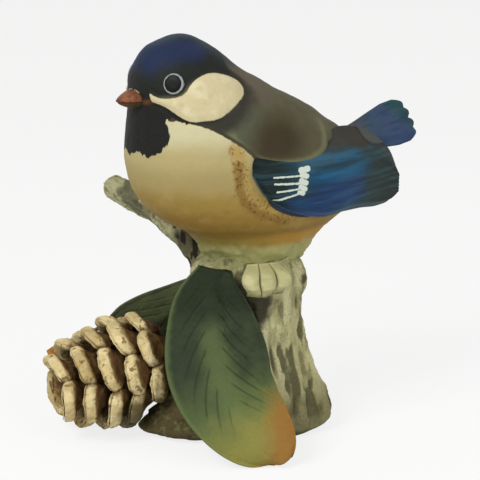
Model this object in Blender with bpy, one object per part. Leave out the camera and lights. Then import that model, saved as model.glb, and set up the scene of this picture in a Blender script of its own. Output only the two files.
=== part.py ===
"""A bisque porcelain figurine: a garden bird on a tree stump, with a branch, two leaves and a pine cone.

Every piece is cast or pressed by itself and luted to its neighbour: the branch, tail, beak, eyes and cone
stalk sit in pockets, and the wings, feet, leaves and bird lie on the surface that carries them.
Metres, +Z up. The origin is on the table, straight below the middle of the bird's seat.
"""

import math

import bmesh
import bpy
import numpy as np
from mathutils import Matrix, Vector

MM = 0.001

# Joints: the slip joint left between two pieces, and how deep a plug goes into its pocket.
FIT = 0.3 * MM
PLUG_DEPTH = 2.2 * MM

# Stump: a hollow casting, open at the top under the bird and vented through its floor.
STUMP_HEIGHT = 48.0 * MM
TRUNK_RADIUS = 14.2 * MM
TRUNK_DEPTH_RATIO = 0.94
STUMP_WALL = 3.2 * MM
STUMP_FLOOR = 3.5 * MM
ROOT_LOBE = 2.4 * MM
ROOT_SPUR = 8.5 * MM
ROOT_SPUR_HEIGHT = 11.5 * MM
ROOT_SPUR_SPREAD = math.radians(25)
SPUR_BEARING = math.radians(186)
BARK_DEPTH = 0.55 * MM
TRUNK_RIGHT = 2.0 * MM
TRUNK_BACK = 1.0 * MM
VENT_RADIUS = 4.1 * MM
VENT_RIGHT = 3.0 * MM
VENT_BACK = 6.5 * MM
LUTING_HOLE_RADIUS = 4.5 * MM
TRUNK_CENTRE = Vector((TRUNK_RIGHT, TRUNK_BACK, 0.0))

# Bird: hollow casting of head and torso. Reaches are measured from the middle of its seat.
BIRD_HEADING = math.radians(210)
BIRD_HEIGHT = 58.6 * MM
BREAST_REACH = 31.4 * MM
RUMP_REACH = 36.0 * MM
FLANK_HALF_WIDTH = 20.5 * MM
BIRD_WALL = 3.0 * MM
MANTLE_RELIEF = 1.3 * MM

# Wings: blades that hug the flank in front and leave it behind.
WING_BEND_REACH = 8.0 * MM
WING_TIP_REACH = 44.0 * MM
WING_THICKNESS = 2.2 * MM
WING_EDGE = 0.9 * MM
WING_SEAT = 0.8 * MM
WING_TIP_SPREAD = 7.0 * MM

# Tail: a short closed fan, cocked up and rolled over to the left.
TAIL_REACH = 22.9 * MM
TAIL_ROOT_WIDTH = 7.2 * MM
TAIL_TIP_WIDTH = 12.6 * MM
TAIL_THICKNESS = 2.6 * MM
TAIL_RISE = math.radians(13)
TAIL_ROLL = math.radians(30)
TAIL_FEATHERS = 4
TAIL_END_ROUND = 2.4 * MM
TAIL_NOTCH = 0.9 * MM
TAIL_HEIGHT = 26.8 * MM

# Beak and eyes, placed down from the crown.
BEAK_LENGTH = 5.2 * MM
BEAK_WIDTH = 8.2 * MM
BEAK_DEPTH = 5.6 * MM
BEAK_DROP = 15.4 * MM
EYE_RADIUS = 2.6 * MM
EYE_BULGE = 0.9 * MM
EYE_SEAT = 0.8 * MM
EYE_DROP = 10.4 * MM
EYE_BEARING = math.radians(47)
EYE_UPTURN = 4.0 * MM
BEAK_HEIGHT = BIRD_HEIGHT - BEAK_DROP
EYE_HEIGHT = BIRD_HEIGHT - EYE_DROP

# Feet: three toes each, pressed over the edge of the stump's top, the left one a little ahead.
TOE_THICKNESS = 2.2 * MM
TOE_EDGE = 0.7 * MM
FOOT_REACH = 6.2 * MM
FOOT_HALF_ANGLE = math.radians(21)
FOOT_STAGGER = math.radians(11)
FOOT_TAPER = 0.2
TOES = 3

# Branch: a broken stub with a rounded end, which climbs steeply and then levels out.
BRANCH_ROOT_RADIUS = 3.8 * MM
BRANCH_TIP_RADIUS = 3.3 * MM
BRANCH_REACH = 28.0 * MM
BRANCH_RISE = 18.6 * MM
BRANCH_LEVELLING = 0.53
BRANCH_BEARING = math.radians(151)
BRANCH_ROOT_DROP = 5.0 * MM

# Leaves.
LEAF_THICKNESS = 1.8 * MM
LEAF_EDGE = 1.0 * MM
LEAF_CUP = 2.2 * MM
MIDRIB_RELIEF = 0.6 * MM
FRONT_LEAF_HALF_WIDTH = 13.2 * MM
FRONT_LEAF_KICK = 17.0 * MM
FRONT_LEAF_KICK_START = 0.2
FRONT_LEAF_DROP_POWER = 0.94
FRONT_LEAF_TURN_POWER = 1.5
FRONT_LEAF_STANDOFF = 1.8 * MM
FRONT_LEAF_TIP_HEIGHT = 1.6 * MM
FRONT_LEAF_BEARING = math.radians(243)
FRONT_LEAF_SWING = math.radians(42)
FRONT_LEAF_BOW = math.radians(10)
REAR_LEAF_HALF_WIDTH = 8.8 * MM
REAR_LEAF_STANDOFF = 0.8 * MM
REAR_LEAF_TIP_REACH = -1.5 * MM
REAR_LEAF_ROOT_SHARE = 0.77
REAR_LEAF_BEARING = math.radians(148)
REAR_LEAF_LEAN = math.radians(104)
REAR_LEAF_TIP_LEAN = math.radians(80)
REAR_LEAF_BOW = 1.25
REAR_LEAF_TUCK = 0.8

# Pine cone: a core with thick scales in rows, each row a cone-shaped sheet parallel to the next.
CONE_LENGTH = 29.0 * MM
CONE_CORE_RADIUS = 8.4 * MM
CONE_BEARING = math.radians(203)
CONE_DIP = math.radians(9)
CONE_STANDOFF = 6.5 * MM
CONE_OFFSET = 2.5 * MM
STALK_RADIUS = 2.4 * MM
SCALE_LENGTH = 10.0 * MM
SCALE_THICKNESS = 2.5 * MM
SCALE_EDGE = 1.3 * MM
SCALE_SPLAY = math.radians(34)
TIP_SPLAY = math.radians(30)
SCALE_CUP = 0.7 * MM
CONE_BELLY_SHARE = 0.25
CONE_REST_SHARE = 0.30
SCALE_ROWS = ((0.04, 7), (0.25, 7), (0.46, 6), (0.67, 5), (0.86, 3))
SCALES_OVER_ROOT = 2
TABLE_CLEARANCE = 0.5 * MM

# Outlines, as shares of the sizes above.
# Bird: height, breast reach, rump reach, half width, and how far the widest point lies forward.
BIRD_STATIONS = (
    (0.000, 0.30, 0.50, 0.56, 0.00),
    (0.043, 0.35, 0.55, 0.62, 0.00),
    (0.113, 0.45, 0.66, 0.73, 0.00),
    (0.199, 0.72, 0.86, 0.91, 0.02),
    (0.312, 0.92, 1.00, 0.99, 0.05),
    (0.459, 1.00, 0.94, 1.00, 0.06),
    (0.589, 0.99, 0.72, 0.93, 0.10),
    (0.693, 0.97, 0.47, 0.84, 0.12),
    (0.780, 0.975, 0.19, 0.75, 0.10),
    (0.867, 0.93, -0.04, 0.64, 0.05),
    (0.945, 0.81, -0.23, 0.435, 0.00),
    (0.988, 0.65, -0.375, 0.20, 0.00),
)
# Stump: height, radius, and how strongly the roots show.
STUMP_STATIONS = (
    (0.000, 1.14, 0.55),
    (0.045, 1.34, 0.95),
    (0.120, 1.43, 1.00),
    (0.210, 1.37, 0.85),
    (0.320, 1.22, 0.50),
    (0.440, 1.10, 0.25),
    (0.580, 1.02, 0.10),
    (0.740, 0.96, 0.15),
    (0.860, 1.04, 0.20),
    (0.940, 1.01, 0.10),
    (0.985, 0.93, 0.05),
    (1.000, 0.86, 0.00),
)
RIM_SHARE = STUMP_STATIONS[-2][0]
# Mantle: how far behind and above the seat its middle lies, and its half length and half height.
MANTLE_BACK, MANTLE_RISE, MANTLE_HALF_LENGTH, MANTLE_HALF_HEIGHT = 0.15, 0.62, 0.42, 0.185
# Where along the rump the wings leave the flank.
WING_LEAVES = 0.62
# Wing: place along the wing, lower edge and upper edge as shares of the bird's height.
WING_STATIONS = (
    (0.00, 0.455, 0.495),
    (0.03, 0.380, 0.480),
    (0.15, 0.285, 0.445),
    (0.28, 0.235, 0.435),
    (0.42, 0.205, 0.480),
    (0.55, 0.200, 0.560),
    (0.72, 0.195, 0.560),
    (0.86, 0.185, 0.490),
    (0.95, 0.200, 0.410),
    (1.00, 0.235, 0.330),
)
# Front leaf: place along the midrib and half width.
FRONT_LEAF_STATIONS = (
    (0.00, 0.36),
    (0.12, 0.66),
    (0.30, 0.88),
    (0.50, 1.00),
    (0.70, 0.92),
    (0.86, 0.68),
    (0.95, 0.42),
    (1.00, 0.20),
)
# Rear leaf: broad behind the cone's base and narrow behind its tip.
REAR_LEAF_STATIONS = (
    (0.00, 0.36),
    (0.12, 0.66),
    (0.28, 0.96),
    (0.40, 1.00),
    (0.54, 0.78),
    (0.70, 0.58),
    (0.86, 0.48),
    (0.95, 0.34),
    (1.00, 0.18),
)
# Cone core: place along the axis and radius.
CORE_STATIONS = (
    (0.00, 0.84),
    (0.10, 0.96),
    (0.28, 1.00),
    (0.50, 0.93),
    (0.70, 0.76),
    (0.88, 0.50),
    (1.00, 0.24),
)


def material(name, colour, roughness=0.75):
    """A matte painted finish."""
    made = bpy.data.materials.new(name)
    made.use_nodes = True
    shader = made.node_tree.nodes["Principled BSDF"]
    shader.inputs["Base Color"].default_value = (*colour, 1.0)
    shader.inputs["Roughness"].default_value = roughness
    shader.inputs["Metallic"].default_value = 0.0
    return made


def smooth_table(stations, place):
    """Every column of a station table at a place given by the first column, on a smooth curve."""
    table = np.array(stations)
    keys = table[:, 0]
    place = min(max(place, keys[0]), keys[-1])
    k = int(min(max(np.searchsorted(keys, place) - 1, 0), len(keys) - 2))
    slopes = np.gradient(table, keys, axis=0)
    span = keys[k + 1] - keys[k]
    t = (place - keys[k]) / span
    start = table[k] * (1 + 2 * t) * (1 - t) ** 2 + slopes[k] * span * t * (1 - t) ** 2
    end = table[k + 1] * t * t * (3 - 2 * t) + slopes[k + 1] * span * t * t * (t - 1)
    return start + end


def smoothstep(value):
    value = min(max(value, 0.0), 1.0)
    return value * value * (3 - 2 * value)


def object_from(name, bm, finish, parent=None):
    """Turns a bmesh into an object with outward faces."""
    bmesh.ops.remove_doubles(bm, verts=bm.verts, dist=0.00001)
    bmesh.ops.recalc_face_normals(bm, faces=bm.faces)
    mesh = bpy.data.meshes.new(name)
    bm.to_mesh(mesh)
    bm.free()
    if finish is not None:
        mesh.materials.append(finish)
    mesh.shade_smooth()
    mesh.set_sharp_from_angle(angle=math.radians(50))
    made = bpy.data.objects.new(name, mesh)
    bpy.context.scene.collection.objects.link(made)
    made.parent = parent
    return made


def loft(name, rings, finish, parent=None, loop=False):
    """A closed solid through rings of equally many points; a loop joins the last ring to the first."""
    bm = bmesh.new()
    rows = [[bm.verts.new(point) for point in ring] for ring in rings]
    count = len(rows[0])
    pairs = list(zip(rows, rows[1:]))
    if loop:
        pairs.append((rows[-1], rows[0]))
    for low, high in pairs:
        for i in range(count):
            j = (i + 1) % count
            bm.faces.new((low[i], low[j], high[j], high[i]))
    if not loop:
        for row in (rows[0], rows[-1]):
            middle = sum((vert.co for vert in row), Vector()) / count
            tip = bm.verts.new(middle)
            for i in range(count):
                bm.faces.new((row[i], row[(i + 1) % count], tip))
    return object_from(name, bm, finish, parent)


def plate(name, face, back, across, along, finish, parent=None):
    """A closed blade between two surfaces, each a function of u (along) and v (across), both 0 to 1."""
    bm = bmesh.new()
    lines = [i / along for i in range(along + 1)]
    steps = [j / across for j in range(across + 1)]
    sheets = [[[bm.verts.new(surface(u, v)) for v in steps] for u in lines] for surface in (face, back)]
    for sheet in sheets:
        for i in range(along):
            for j in range(across):
                bm.faces.new((sheet[i][j], sheet[i + 1][j], sheet[i + 1][j + 1], sheet[i][j + 1]))
    rim = [(0, j) for j in range(across)]
    rim += [(i, across) for i in range(along)]
    rim += [(along, j) for j in range(across, 0, -1)]
    rim += [(i, 0) for i in range(along, 0, -1)]
    top, under = sheets
    for (a, b), (c, d) in zip(rim, rim[1:] + rim[:1]):
        bm.faces.new((top[a][b], top[c][d], under[c][d], under[a][b]))
    return object_from(name, bm, finish, parent)


def tube_rings(path, radii, sides, start_angle=0.0):
    """Rings square to a path, with a radius at each point."""
    rings = []
    side = None
    for k, (point, radius) in enumerate(zip(path, radii)):
        ahead = path[min(k + 1, len(path) - 1)] - path[max(k - 1, 0)]
        ahead.normalize()
        if side is None:
            side = ahead.orthogonal().normalized()
        side = (side - ahead * side.dot(ahead)).normalized()
        other = ahead.cross(side)
        angles = [start_angle + 2 * math.pi * i / sides for i in range(sides)]
        rings.append([point + (side * math.cos(a) + other * math.sin(a)) * radius for a in angles])
    return rings


def cut_pocket(target, name, rings):
    """Cuts a pocket with a solid through the rings, which stays in the file as a guide."""
    cutter = loft(name, rings, None, target.parent)
    cutter.hide_render = True
    cutter.display_type = "WIRE"
    pocket = target.modifiers.new(name, "BOOLEAN")
    pocket.operation = "DIFFERENCE"
    pocket.solver = "EXACT"
    pocket.object = cutter


# ---------------------------------------------------------------- stump


def stump_radius(share, angle):
    """Radius of the bark at a share of the height: trunk, root lobes and bark ridges."""
    _, radius, roots = smooth_table(STUMP_STATIONS, share)
    lobes = math.cos(5 * angle + 0.9) + 0.45 * math.cos(3 * angle - 1.1)
    ridges = math.cos(11 * angle + 2.5 * share) * (0.25 + smoothstep(share * 4) * smoothstep((1 - share) * 6))
    apart = math.remainder(angle - SPUR_BEARING, 2 * math.pi)
    spur = math.exp(-((apart / ROOT_SPUR_SPREAD) ** 2))
    spur *= smoothstep(1 - share * STUMP_HEIGHT / ROOT_SPUR_HEIGHT)
    return TRUNK_RADIUS * radius + ROOT_LOBE * roots * lobes + ROOT_SPUR * spur + BARK_DEPTH * ridges


def clear_of_bark(point, distance):
    """The point, pushed straight out of the trunk where the bark is nearer than the distance."""
    away = point - TRUNK_CENTRE
    share = min(max(away.z / STUMP_HEIGHT, 0.0), 1.0)
    flat = Vector((away.x, away.y / TRUNK_DEPTH_RATIO, 0.0))
    least = stump_radius(share, math.atan2(flat.y, flat.x)) + distance
    if flat.length >= least:
        return point
    flat *= least / flat.length
    return Vector((TRUNK_CENTRE.x + flat.x, TRUNK_CENTRE.y + flat.y * TRUNK_DEPTH_RATIO, point.z))


def trunk_point(share, angle, extra=0.0):
    """A point on the bark, or a distance outside it."""
    radius = stump_radius(share, angle) + extra
    across = Vector((radius * math.cos(angle), radius * TRUNK_DEPTH_RATIO * math.sin(angle), 0.0))
    return TRUNK_CENTRE + across + Vector((0, 0, share * STUMP_HEIGHT))


def round_ring(centre, radius, count, height):
    angles = [2 * math.pi * i / count for i in range(count)]
    return [centre + Vector((radius * math.cos(a), radius * math.sin(a), height)) for a in angles]


def make_stump(finish):
    sides = 44
    angles = [2 * math.pi * i / sides for i in range(sides)]
    stations = [station[0] for station in STUMP_STATIONS]
    between = [(low + high) / 2 for low, high in zip(stations, stations[1:])]
    levels = sorted(stations + between[:-1])
    rings = [[trunk_point(level, a) for a in angles] for level in levels]
    rings.append(round_ring(TRUNK_CENTRE, LUTING_HOLE_RADIUS, sides, STUMP_HEIGHT))
    rings.append(round_ring(TRUNK_CENTRE, LUTING_HOLE_RADIUS, sides, STUMP_HEIGHT - STUMP_WALL))
    hollow_top = 1 - STUMP_WALL / STUMP_HEIGHT
    hollow_floor = STUMP_FLOOR / STUMP_HEIGHT
    for k in range(6):
        level = hollow_top + (hollow_floor - hollow_top) * k / 5
        radius = TRUNK_RADIUS * smooth_table(STUMP_STATIONS, level)[1] * TRUNK_DEPTH_RATIO
        radius -= STUMP_WALL + ROOT_LOBE * smooth_table(STUMP_STATIONS, level)[2]
        rings.append(round_ring(TRUNK_CENTRE, radius, sides, level * STUMP_HEIGHT))
    vent = TRUNK_CENTRE + Vector((VENT_RIGHT, VENT_BACK, 0.0))
    rings.append(round_ring(vent, VENT_RADIUS, sides, STUMP_FLOOR))
    rings.append(round_ring(vent, VENT_RADIUS, sides, 0.0))
    return loft("stump", rings, finish, loop=True)


# ---------------------------------------------------------------- bird


def bird_section(height):
    """Front, back, half width and forward lean of the bird's level outline at a height over its seat."""
    share = height / BIRD_HEIGHT
    _, front, back, half_width, lean = smooth_table(BIRD_STATIONS, share)
    return BREAST_REACH * front, -RUMP_REACH * back, FLANK_HALF_WIDTH * half_width, lean


def mantle_relief(forward, height):
    """How far the feathers of the shoulder stand proud of the flank."""
    along = (forward / RUMP_REACH + MANTLE_BACK) / MANTLE_HALF_LENGTH
    upward = (height / BIRD_HEIGHT - MANTLE_RISE) / MANTLE_HALF_HEIGHT
    if upward > 0:
        upward *= 0.75
    distance = math.hypot(along, upward)
    return MANTLE_RELIEF * smoothstep((1.10 - distance) / 0.42)


def bird_point(height, angle, inset=0.0):
    """A point on the bird's skin, or at a depth inside it."""
    front, back, half_width, lean = bird_section(height)
    middle = (front + back) / 2
    forward = middle + ((front - back) / 2 - inset) * math.cos(angle)
    left = (half_width - inset) * math.sin(angle) * (1 + lean * math.cos(angle))
    if inset == 0:
        facing = math.copysign(smoothstep(abs(math.sin(angle)) * 2), math.sin(angle))
        left += mantle_relief(forward, height) * facing
    return Vector((forward, left, height))


def flank(forward, height):
    """Half width of the bird's skin at a place along it, nothing past its ends."""
    front, back, half_width, lean = bird_section(height)
    cosine = (forward - (front + back) / 2) / ((front - back) / 2)
    if abs(cosine) >= 1:
        return 0.0
    sine = math.sqrt(1 - cosine * cosine)
    return half_width * sine * (1 + lean * cosine) + mantle_relief(forward, height) * smoothstep(sine * 2)


def make_bird_body(finish, frame):
    sides = 36
    angles = [2 * math.pi * i / sides for i in range(sides)]
    top_share = BIRD_STATIONS[-1][0]
    count = 24
    outer = []
    for k in range(count + 1):
        share = top_share * math.sin(math.pi / 2 * k / count)
        outer.append([bird_point(share * BIRD_HEIGHT, a) for a in angles])
    inner = []
    steps = 8
    for k in range(steps + 1):
        height = BIRD_WALL + (0.93 * BIRD_HEIGHT - 2 * BIRD_WALL) * math.sin(math.pi / 2 * k / steps)
        inner.append([bird_point(height, a, BIRD_WALL) for a in angles])
    hole = [round_ring(trunk_in_bird(), LUTING_HOLE_RADIUS, sides, height) for height in (BIRD_WALL, 0.0)]
    return loft("bird_body", inner[::-1] + hole + outer, finish, frame)


def trunk_in_bird():
    """The stump's axis in the bird's own frame."""
    return Matrix.Rotation(-BIRD_HEADING, 4, "Z") @ TRUNK_CENTRE


def make_wing(name, side, finish, frame):
    """A folded wing; side is 1 on the left and -1 on the right."""
    leave = -WING_LEAVES * RUMP_REACH

    def inner(forward, height):
        skin = flank(forward, height) + WING_SEAT
        share = min(max((leave - forward) / (WING_TIP_REACH + leave), 0.0), 1.0)
        root = flank(leave, height) + WING_SEAT
        blade = root + (WING_TIP_SPREAD - root) * share
        return skin if forward > leave else max(skin, blade)

    def place(u, v):
        spread = 0.5 - 0.5 * math.cos(math.pi * u)
        _, low, high = smooth_table(WING_STATIONS, spread)
        forward = WING_BEND_REACH - (WING_BEND_REACH + WING_TIP_REACH) * spread
        height = BIRD_HEIGHT * (low + (high - low) * v)
        return forward, height

    def back(u, v):
        forward, height = place(u, v)
        return Vector((forward, side * inner(forward, height), height))

    def face(u, v):
        forward, height = place(u, v)
        body = smoothstep(6 * min(u, 1 - u, v, 1 - v))
        thickness = WING_EDGE + (WING_THICKNESS - WING_EDGE) * body
        return Vector((forward, side * (inner(forward, height) + thickness), height))

    return plate(name, face, back, 7, 16, finish, frame)


def tail_ring(share, grown=0.0, sides=16):
    """A flat oval square to the tail at a share of its reach, or one grown all round to clear it."""
    distance = share * TAIL_REACH
    width = TAIL_ROOT_WIDTH + (TAIL_TIP_WIDTH - TAIL_ROOT_WIDTH) * smoothstep(share * 1.25) + 2 * grown
    thickness = TAIL_THICKNESS * (1 - 0.35 * share) + 2 * grown
    root = Vector((bird_section(TAIL_HEIGHT)[1] + PLUG_DEPTH, 0.0, TAIL_HEIGHT))
    ahead = Vector((-math.cos(TAIL_RISE), 0.0, math.sin(TAIL_RISE)))
    upright = Vector((math.sin(TAIL_RISE), 0.0, math.cos(TAIL_RISE)))
    across = upright * math.cos(TAIL_ROLL) + Vector((0, -math.sin(TAIL_ROLL), 0))
    outward = ahead.cross(across)
    middle = root + ahead * distance
    ring = []
    for i in range(sides):
        angle = 2 * math.pi * i / sides
        wide = math.copysign(abs(math.cos(angle)) ** 0.8, math.cos(angle))
        point = middle + across * wide * width / 2 + outward * math.sin(angle) * thickness / 2
        if share == 1.0:
            feather = abs(math.sin((wide + 1) * math.pi * TAIL_FEATHERS / 2))
            point -= ahead * (TAIL_NOTCH * (1 - feather) + TAIL_END_ROUND * wide ** 4)
        ring.append(point)
    return ring


def make_tail(finish, frame, body):
    """Its root sits in a pocket of its own outline in the rump."""
    loft("tail", [tail_ring(k / 10) for k in range(11)], finish, frame)
    shares = (-FIT / TAIL_REACH, 0.15, 0.3, 0.5)
    cut_pocket(body, "tail_pocket", [tail_ring(share, FIT) for share in shares])


def beak_ring(reach, width, depth, half, sides=10):
    """Half of an oval across the beak: half is 1 above the gape, -1 below, 0 for the whole oval."""
    ring = []
    for i in range(sides + 1 if half else 2 * sides):
        angle = math.pi * i / sides
        left = math.cos(angle) * width / 2
        up = math.sin(angle) * depth / 2
        if half:
            up = half * (up + FIT / 2)
        ring.append(Vector((reach, left, BEAK_HEIGHT + up)))
    return ring


def make_beak(upper_finish, lower_finish, frame, body):
    root = bird_section(BEAK_HEIGHT)[0] - PLUG_DEPTH
    tip = root + PLUG_DEPTH + BEAK_LENGTH
    for name, half, depth_share, reach_share, finish in (
        ("upper_beak", 1, 1.12, 1.0, upper_finish),
        ("lower_beak", -1, 0.80, 0.93, lower_finish),
    ):
        rings = []
        for share, size in ((0, 1), (0.3, 0.99), (0.52, 0.86), (0.72, 0.62), (0.88, 0.38), (1.0, 0.14)):
            reach = root + (tip - root) * share * reach_share
            rings.append(beak_ring(reach, BEAK_WIDTH * size, BEAK_DEPTH * size * depth_share, half))
        loft(name, rings, finish, frame)
    pocket_width = BEAK_WIDTH + 2 * FIT
    pocket_depth = BEAK_DEPTH * 1.12 + 3 * FIT
    cutter = [beak_ring(x, pocket_width, pocket_depth, 0) for x in (root - FIT, tip)]
    cut_pocket(body, "beak_pocket", cutter)


def make_eyes(finish, frame, body):
    """Domed buttons, each in a shallow round pocket."""
    dome = ((0.15, 1.0), (0.55, 0.82), (0.85, 0.5), (1.0, 0.2))
    for name, side in (("left_eye", 1), ("right_eye", -1)):
        seat = bird_point(EYE_HEIGHT, EYE_BEARING * side)
        front, back, _, _ = bird_section(EYE_HEIGHT)
        middle = Vector(((front + back) / 2, 0.0, EYE_HEIGHT - EYE_UPTURN))
        outward = (seat - middle).normalized()
        path = [seat - outward * EYE_SEAT] + [seat + outward * EYE_BULGE * rise for rise, _ in dome]
        radii = [EYE_RADIUS] + [EYE_RADIUS * size for _, size in dome]
        loft(name, tube_rings(path, radii, 16), finish, frame)
        hole = [seat - outward * (EYE_SEAT + FIT), seat, seat + outward * 2 * EYE_BULGE]
        cut_pocket(body, name + "_pocket", tube_rings(hole, [EYE_RADIUS + FIT] * 3, 16))


def make_foot(name, side, finish):
    """Toes pressed over the rim of the stump's top; side is 1 on the left and -1 on the right."""
    bearing = BIRD_HEADING + side * math.pi / 2 - FOOT_STAGGER

    def at(u, v, extra):
        narrow = 1 - FOOT_TAPER * (1 - math.sin(math.pi * min(u * 1.2, 1.0)))
        angle = bearing + (2 * v - 1) * FOOT_HALF_ANGLE * narrow
        return trunk_point(RIM_SHARE - u * FOOT_REACH / STUMP_HEIGHT, angle, extra)

    def back(u, v):
        return at(u, v, 1.5 * FIT)

    def face(u, v):
        toe = abs(math.sin(math.pi * TOES * v)) ** 0.6
        body = smoothstep(3 * min(u + 0.05, 1.0 - u))
        return at(u, v, 1.5 * FIT + TOE_EDGE + (TOE_THICKNESS - TOE_EDGE) * body * (0.35 + 0.65 * toe))

    return plate(name, face, back, 12, 6, finish)


# ---------------------------------------------------------------- branch


def make_branch(finish, stump):
    share = 1 - BRANCH_ROOT_DROP / STUMP_HEIGHT
    outward = Vector((math.cos(BRANCH_BEARING), math.sin(BRANCH_BEARING), 0.0))
    root = trunk_point(share, BRANCH_BEARING, -PLUG_DEPTH)
    count = 12
    path = []
    radii = []
    for k in range(count + 1):
        t = k / count
        path.append(root + outward * (BRANCH_REACH * t) + Vector((0, 0, BRANCH_RISE * t ** BRANCH_LEVELLING)))
        radii.append(BRANCH_ROOT_RADIUS + (BRANCH_TIP_RADIUS - BRANCH_ROOT_RADIUS) * smoothstep(t * 1.6))
    ahead = (path[-1] - path[-2]).normalized()
    for angle in (30, 60, 80):
        turn = math.radians(angle)
        path.append(path[count] + ahead * (BRANCH_TIP_RADIUS * math.sin(turn)))
        radii.append(BRANCH_TIP_RADIUS * math.cos(turn))
    loft("branch", tube_rings(path, radii, 14), finish)
    into = (path[1] - path[0]).normalized()
    socket = [path[0] - into * FIT] + path[1:4]
    cut_pocket(stump, "branch_socket", tube_rings(socket, [radius + FIT for radius in radii[:4]], 14))


# ---------------------------------------------------------------- leaves


def leaf_surfaces(midline, sideways, stations, half_width):
    """Face and back of a leaf along a midline, with a raised midrib and a cupped blade."""

    def frame_at(u):
        here = midline(u)
        ahead = (midline(min(u + 0.02, 1.0)) - midline(max(u - 0.02, 0.0))).normalized()
        side = (sideways - ahead * sideways.dot(ahead)).normalized()
        return here, side, ahead.cross(side).normalized()

    def face(u, v):
        here, side, outward = frame_at(u)
        _, width = smooth_table(stations, u)
        w = 2 * v - 1
        rib = MIDRIB_RELIEF * math.exp(-((w * 5) ** 2))
        return here + side * (w * width * half_width) + outward * (rib - LEAF_CUP * w * w)

    def back(u, v):
        here, side, outward = frame_at(u)
        w = 2 * v - 1
        thick = LEAF_EDGE + (LEAF_THICKNESS - LEAF_EDGE) * (1 - w ** 4)
        _, width = smooth_table(stations, u)
        inner = max(width * half_width - FIT, width * half_width / 2)
        return here + side * (w * inner) - outward * (LEAF_CUP * w * w + thick)

    return face, back


def draped(face, back):
    """The same leaf pushed out of the bark wherever it would run into it."""

    def draped_back(u, v):
        return clear_of_bark(back(u, v), 2 * FIT)

    def draped_face(u, v):
        thick = (face(u, v) - back(u, v)).length
        return clear_of_bark(face(u, v), 2 * FIT + thick)

    return draped_face, draped_back


def make_front_leaf(finish):
    """Hangs over the front of the stump's top and kicks out to the table."""
    top = RIM_SHARE * STUMP_HEIGHT

    def midline(u):
        height = top + (FRONT_LEAF_TIP_HEIGHT - top) * u ** FRONT_LEAF_DROP_POWER
        swing = FRONT_LEAF_SWING * smoothstep(u) ** FRONT_LEAF_TURN_POWER
        bearing = FRONT_LEAF_BEARING + swing - FRONT_LEAF_BOW * math.sin(math.pi * u)
        radius = TRUNK_RADIUS + LEAF_THICKNESS + FRONT_LEAF_STANDOFF
        kicked = smoothstep((u - FRONT_LEAF_KICK_START) / (1 - FRONT_LEAF_KICK_START))
        radius += FRONT_LEAF_KICK * kicked ** FRONT_LEAF_TURN_POWER
        across = Vector((math.cos(bearing), TRUNK_DEPTH_RATIO * math.sin(bearing), 0.0))
        return TRUNK_CENTRE + across * radius + Vector((0, 0, height))

    face, back = leaf_surfaces(midline, Vector((1, 0.05, 0)), FRONT_LEAF_STATIONS, FRONT_LEAF_HALF_WIDTH)
    plate("front_leaf", *draped(face, back), 10, 15, finish)


def cone_frame():
    """The cone's own frame: origin at its base, local +Z along its axis to the tip."""
    fall = CONE_REST_SHARE * CONE_LENGTH * math.sin(CONE_DIP)
    height = cone_envelope(CONE_BELLY_SHARE) + TABLE_CLEARANCE + fall
    bearing = CONE_BEARING - math.pi
    start = trunk_point(height / STUMP_HEIGHT, math.pi, CONE_STANDOFF)
    start.y += CONE_OFFSET
    axis = Vector((-math.cos(bearing), -math.sin(bearing), -math.tan(CONE_DIP))).normalized()
    up = (Vector((0, 0, 1)) - axis * axis.z).normalized()
    other = axis.cross(up)
    turn = Matrix((up, other, axis)).transposed().to_4x4()
    return Matrix.Translation(start) @ turn


def scale_splay(share):
    """Angle of a row of scales to the cone's axis: the rows close up towards the tip."""
    return SCALE_SPLAY + (TIP_SPLAY - SCALE_SPLAY) * share ** 2


def cone_envelope(share):
    """Outer radius of the cone at the rims of the row that starts at a share of its length."""
    core = CONE_CORE_RADIUS * smooth_table(CORE_STATIONS, share)[1]
    return core + FIT + SCALE_THICKNESS + SCALE_LENGTH * math.sin(scale_splay(share))


def make_rear_leaf(finish):
    """Leaves the stump behind the cone and lies against the cone's back, its tip past the cone's end."""
    frame = cone_frame()
    reach = cone_envelope(CONE_BELLY_SHARE) + REAR_LEAF_STANDOFF + LEAF_THICKNESS
    start = trunk_point(REAR_LEAF_ROOT_SHARE, REAR_LEAF_BEARING)

    def beside(lean, distance, along):
        return frame @ Vector((distance * math.cos(lean), distance * math.sin(lean), along))

    over = beside(REAR_LEAF_LEAN, REAR_LEAF_BOW * reach, CONE_BELLY_SHARE * CONE_LENGTH)
    end = beside(REAR_LEAF_TIP_LEAN, REAR_LEAF_TUCK * reach, CONE_LENGTH + REAR_LEAF_TIP_REACH)

    def midline(u):
        return start * (1 - u) ** 2 + over * 2 * u * (1 - u) + end * u * u

    tangent = frame.to_3x3() @ Vector((-math.sin(REAR_LEAF_TIP_LEAN), math.cos(REAR_LEAF_TIP_LEAN), 0))
    face, back = leaf_surfaces(midline, tangent, REAR_LEAF_STATIONS, REAR_LEAF_HALF_WIDTH)
    plate("rear_leaf", *draped(face, back), 10, 14, finish)


# ---------------------------------------------------------------- pine cone


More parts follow.
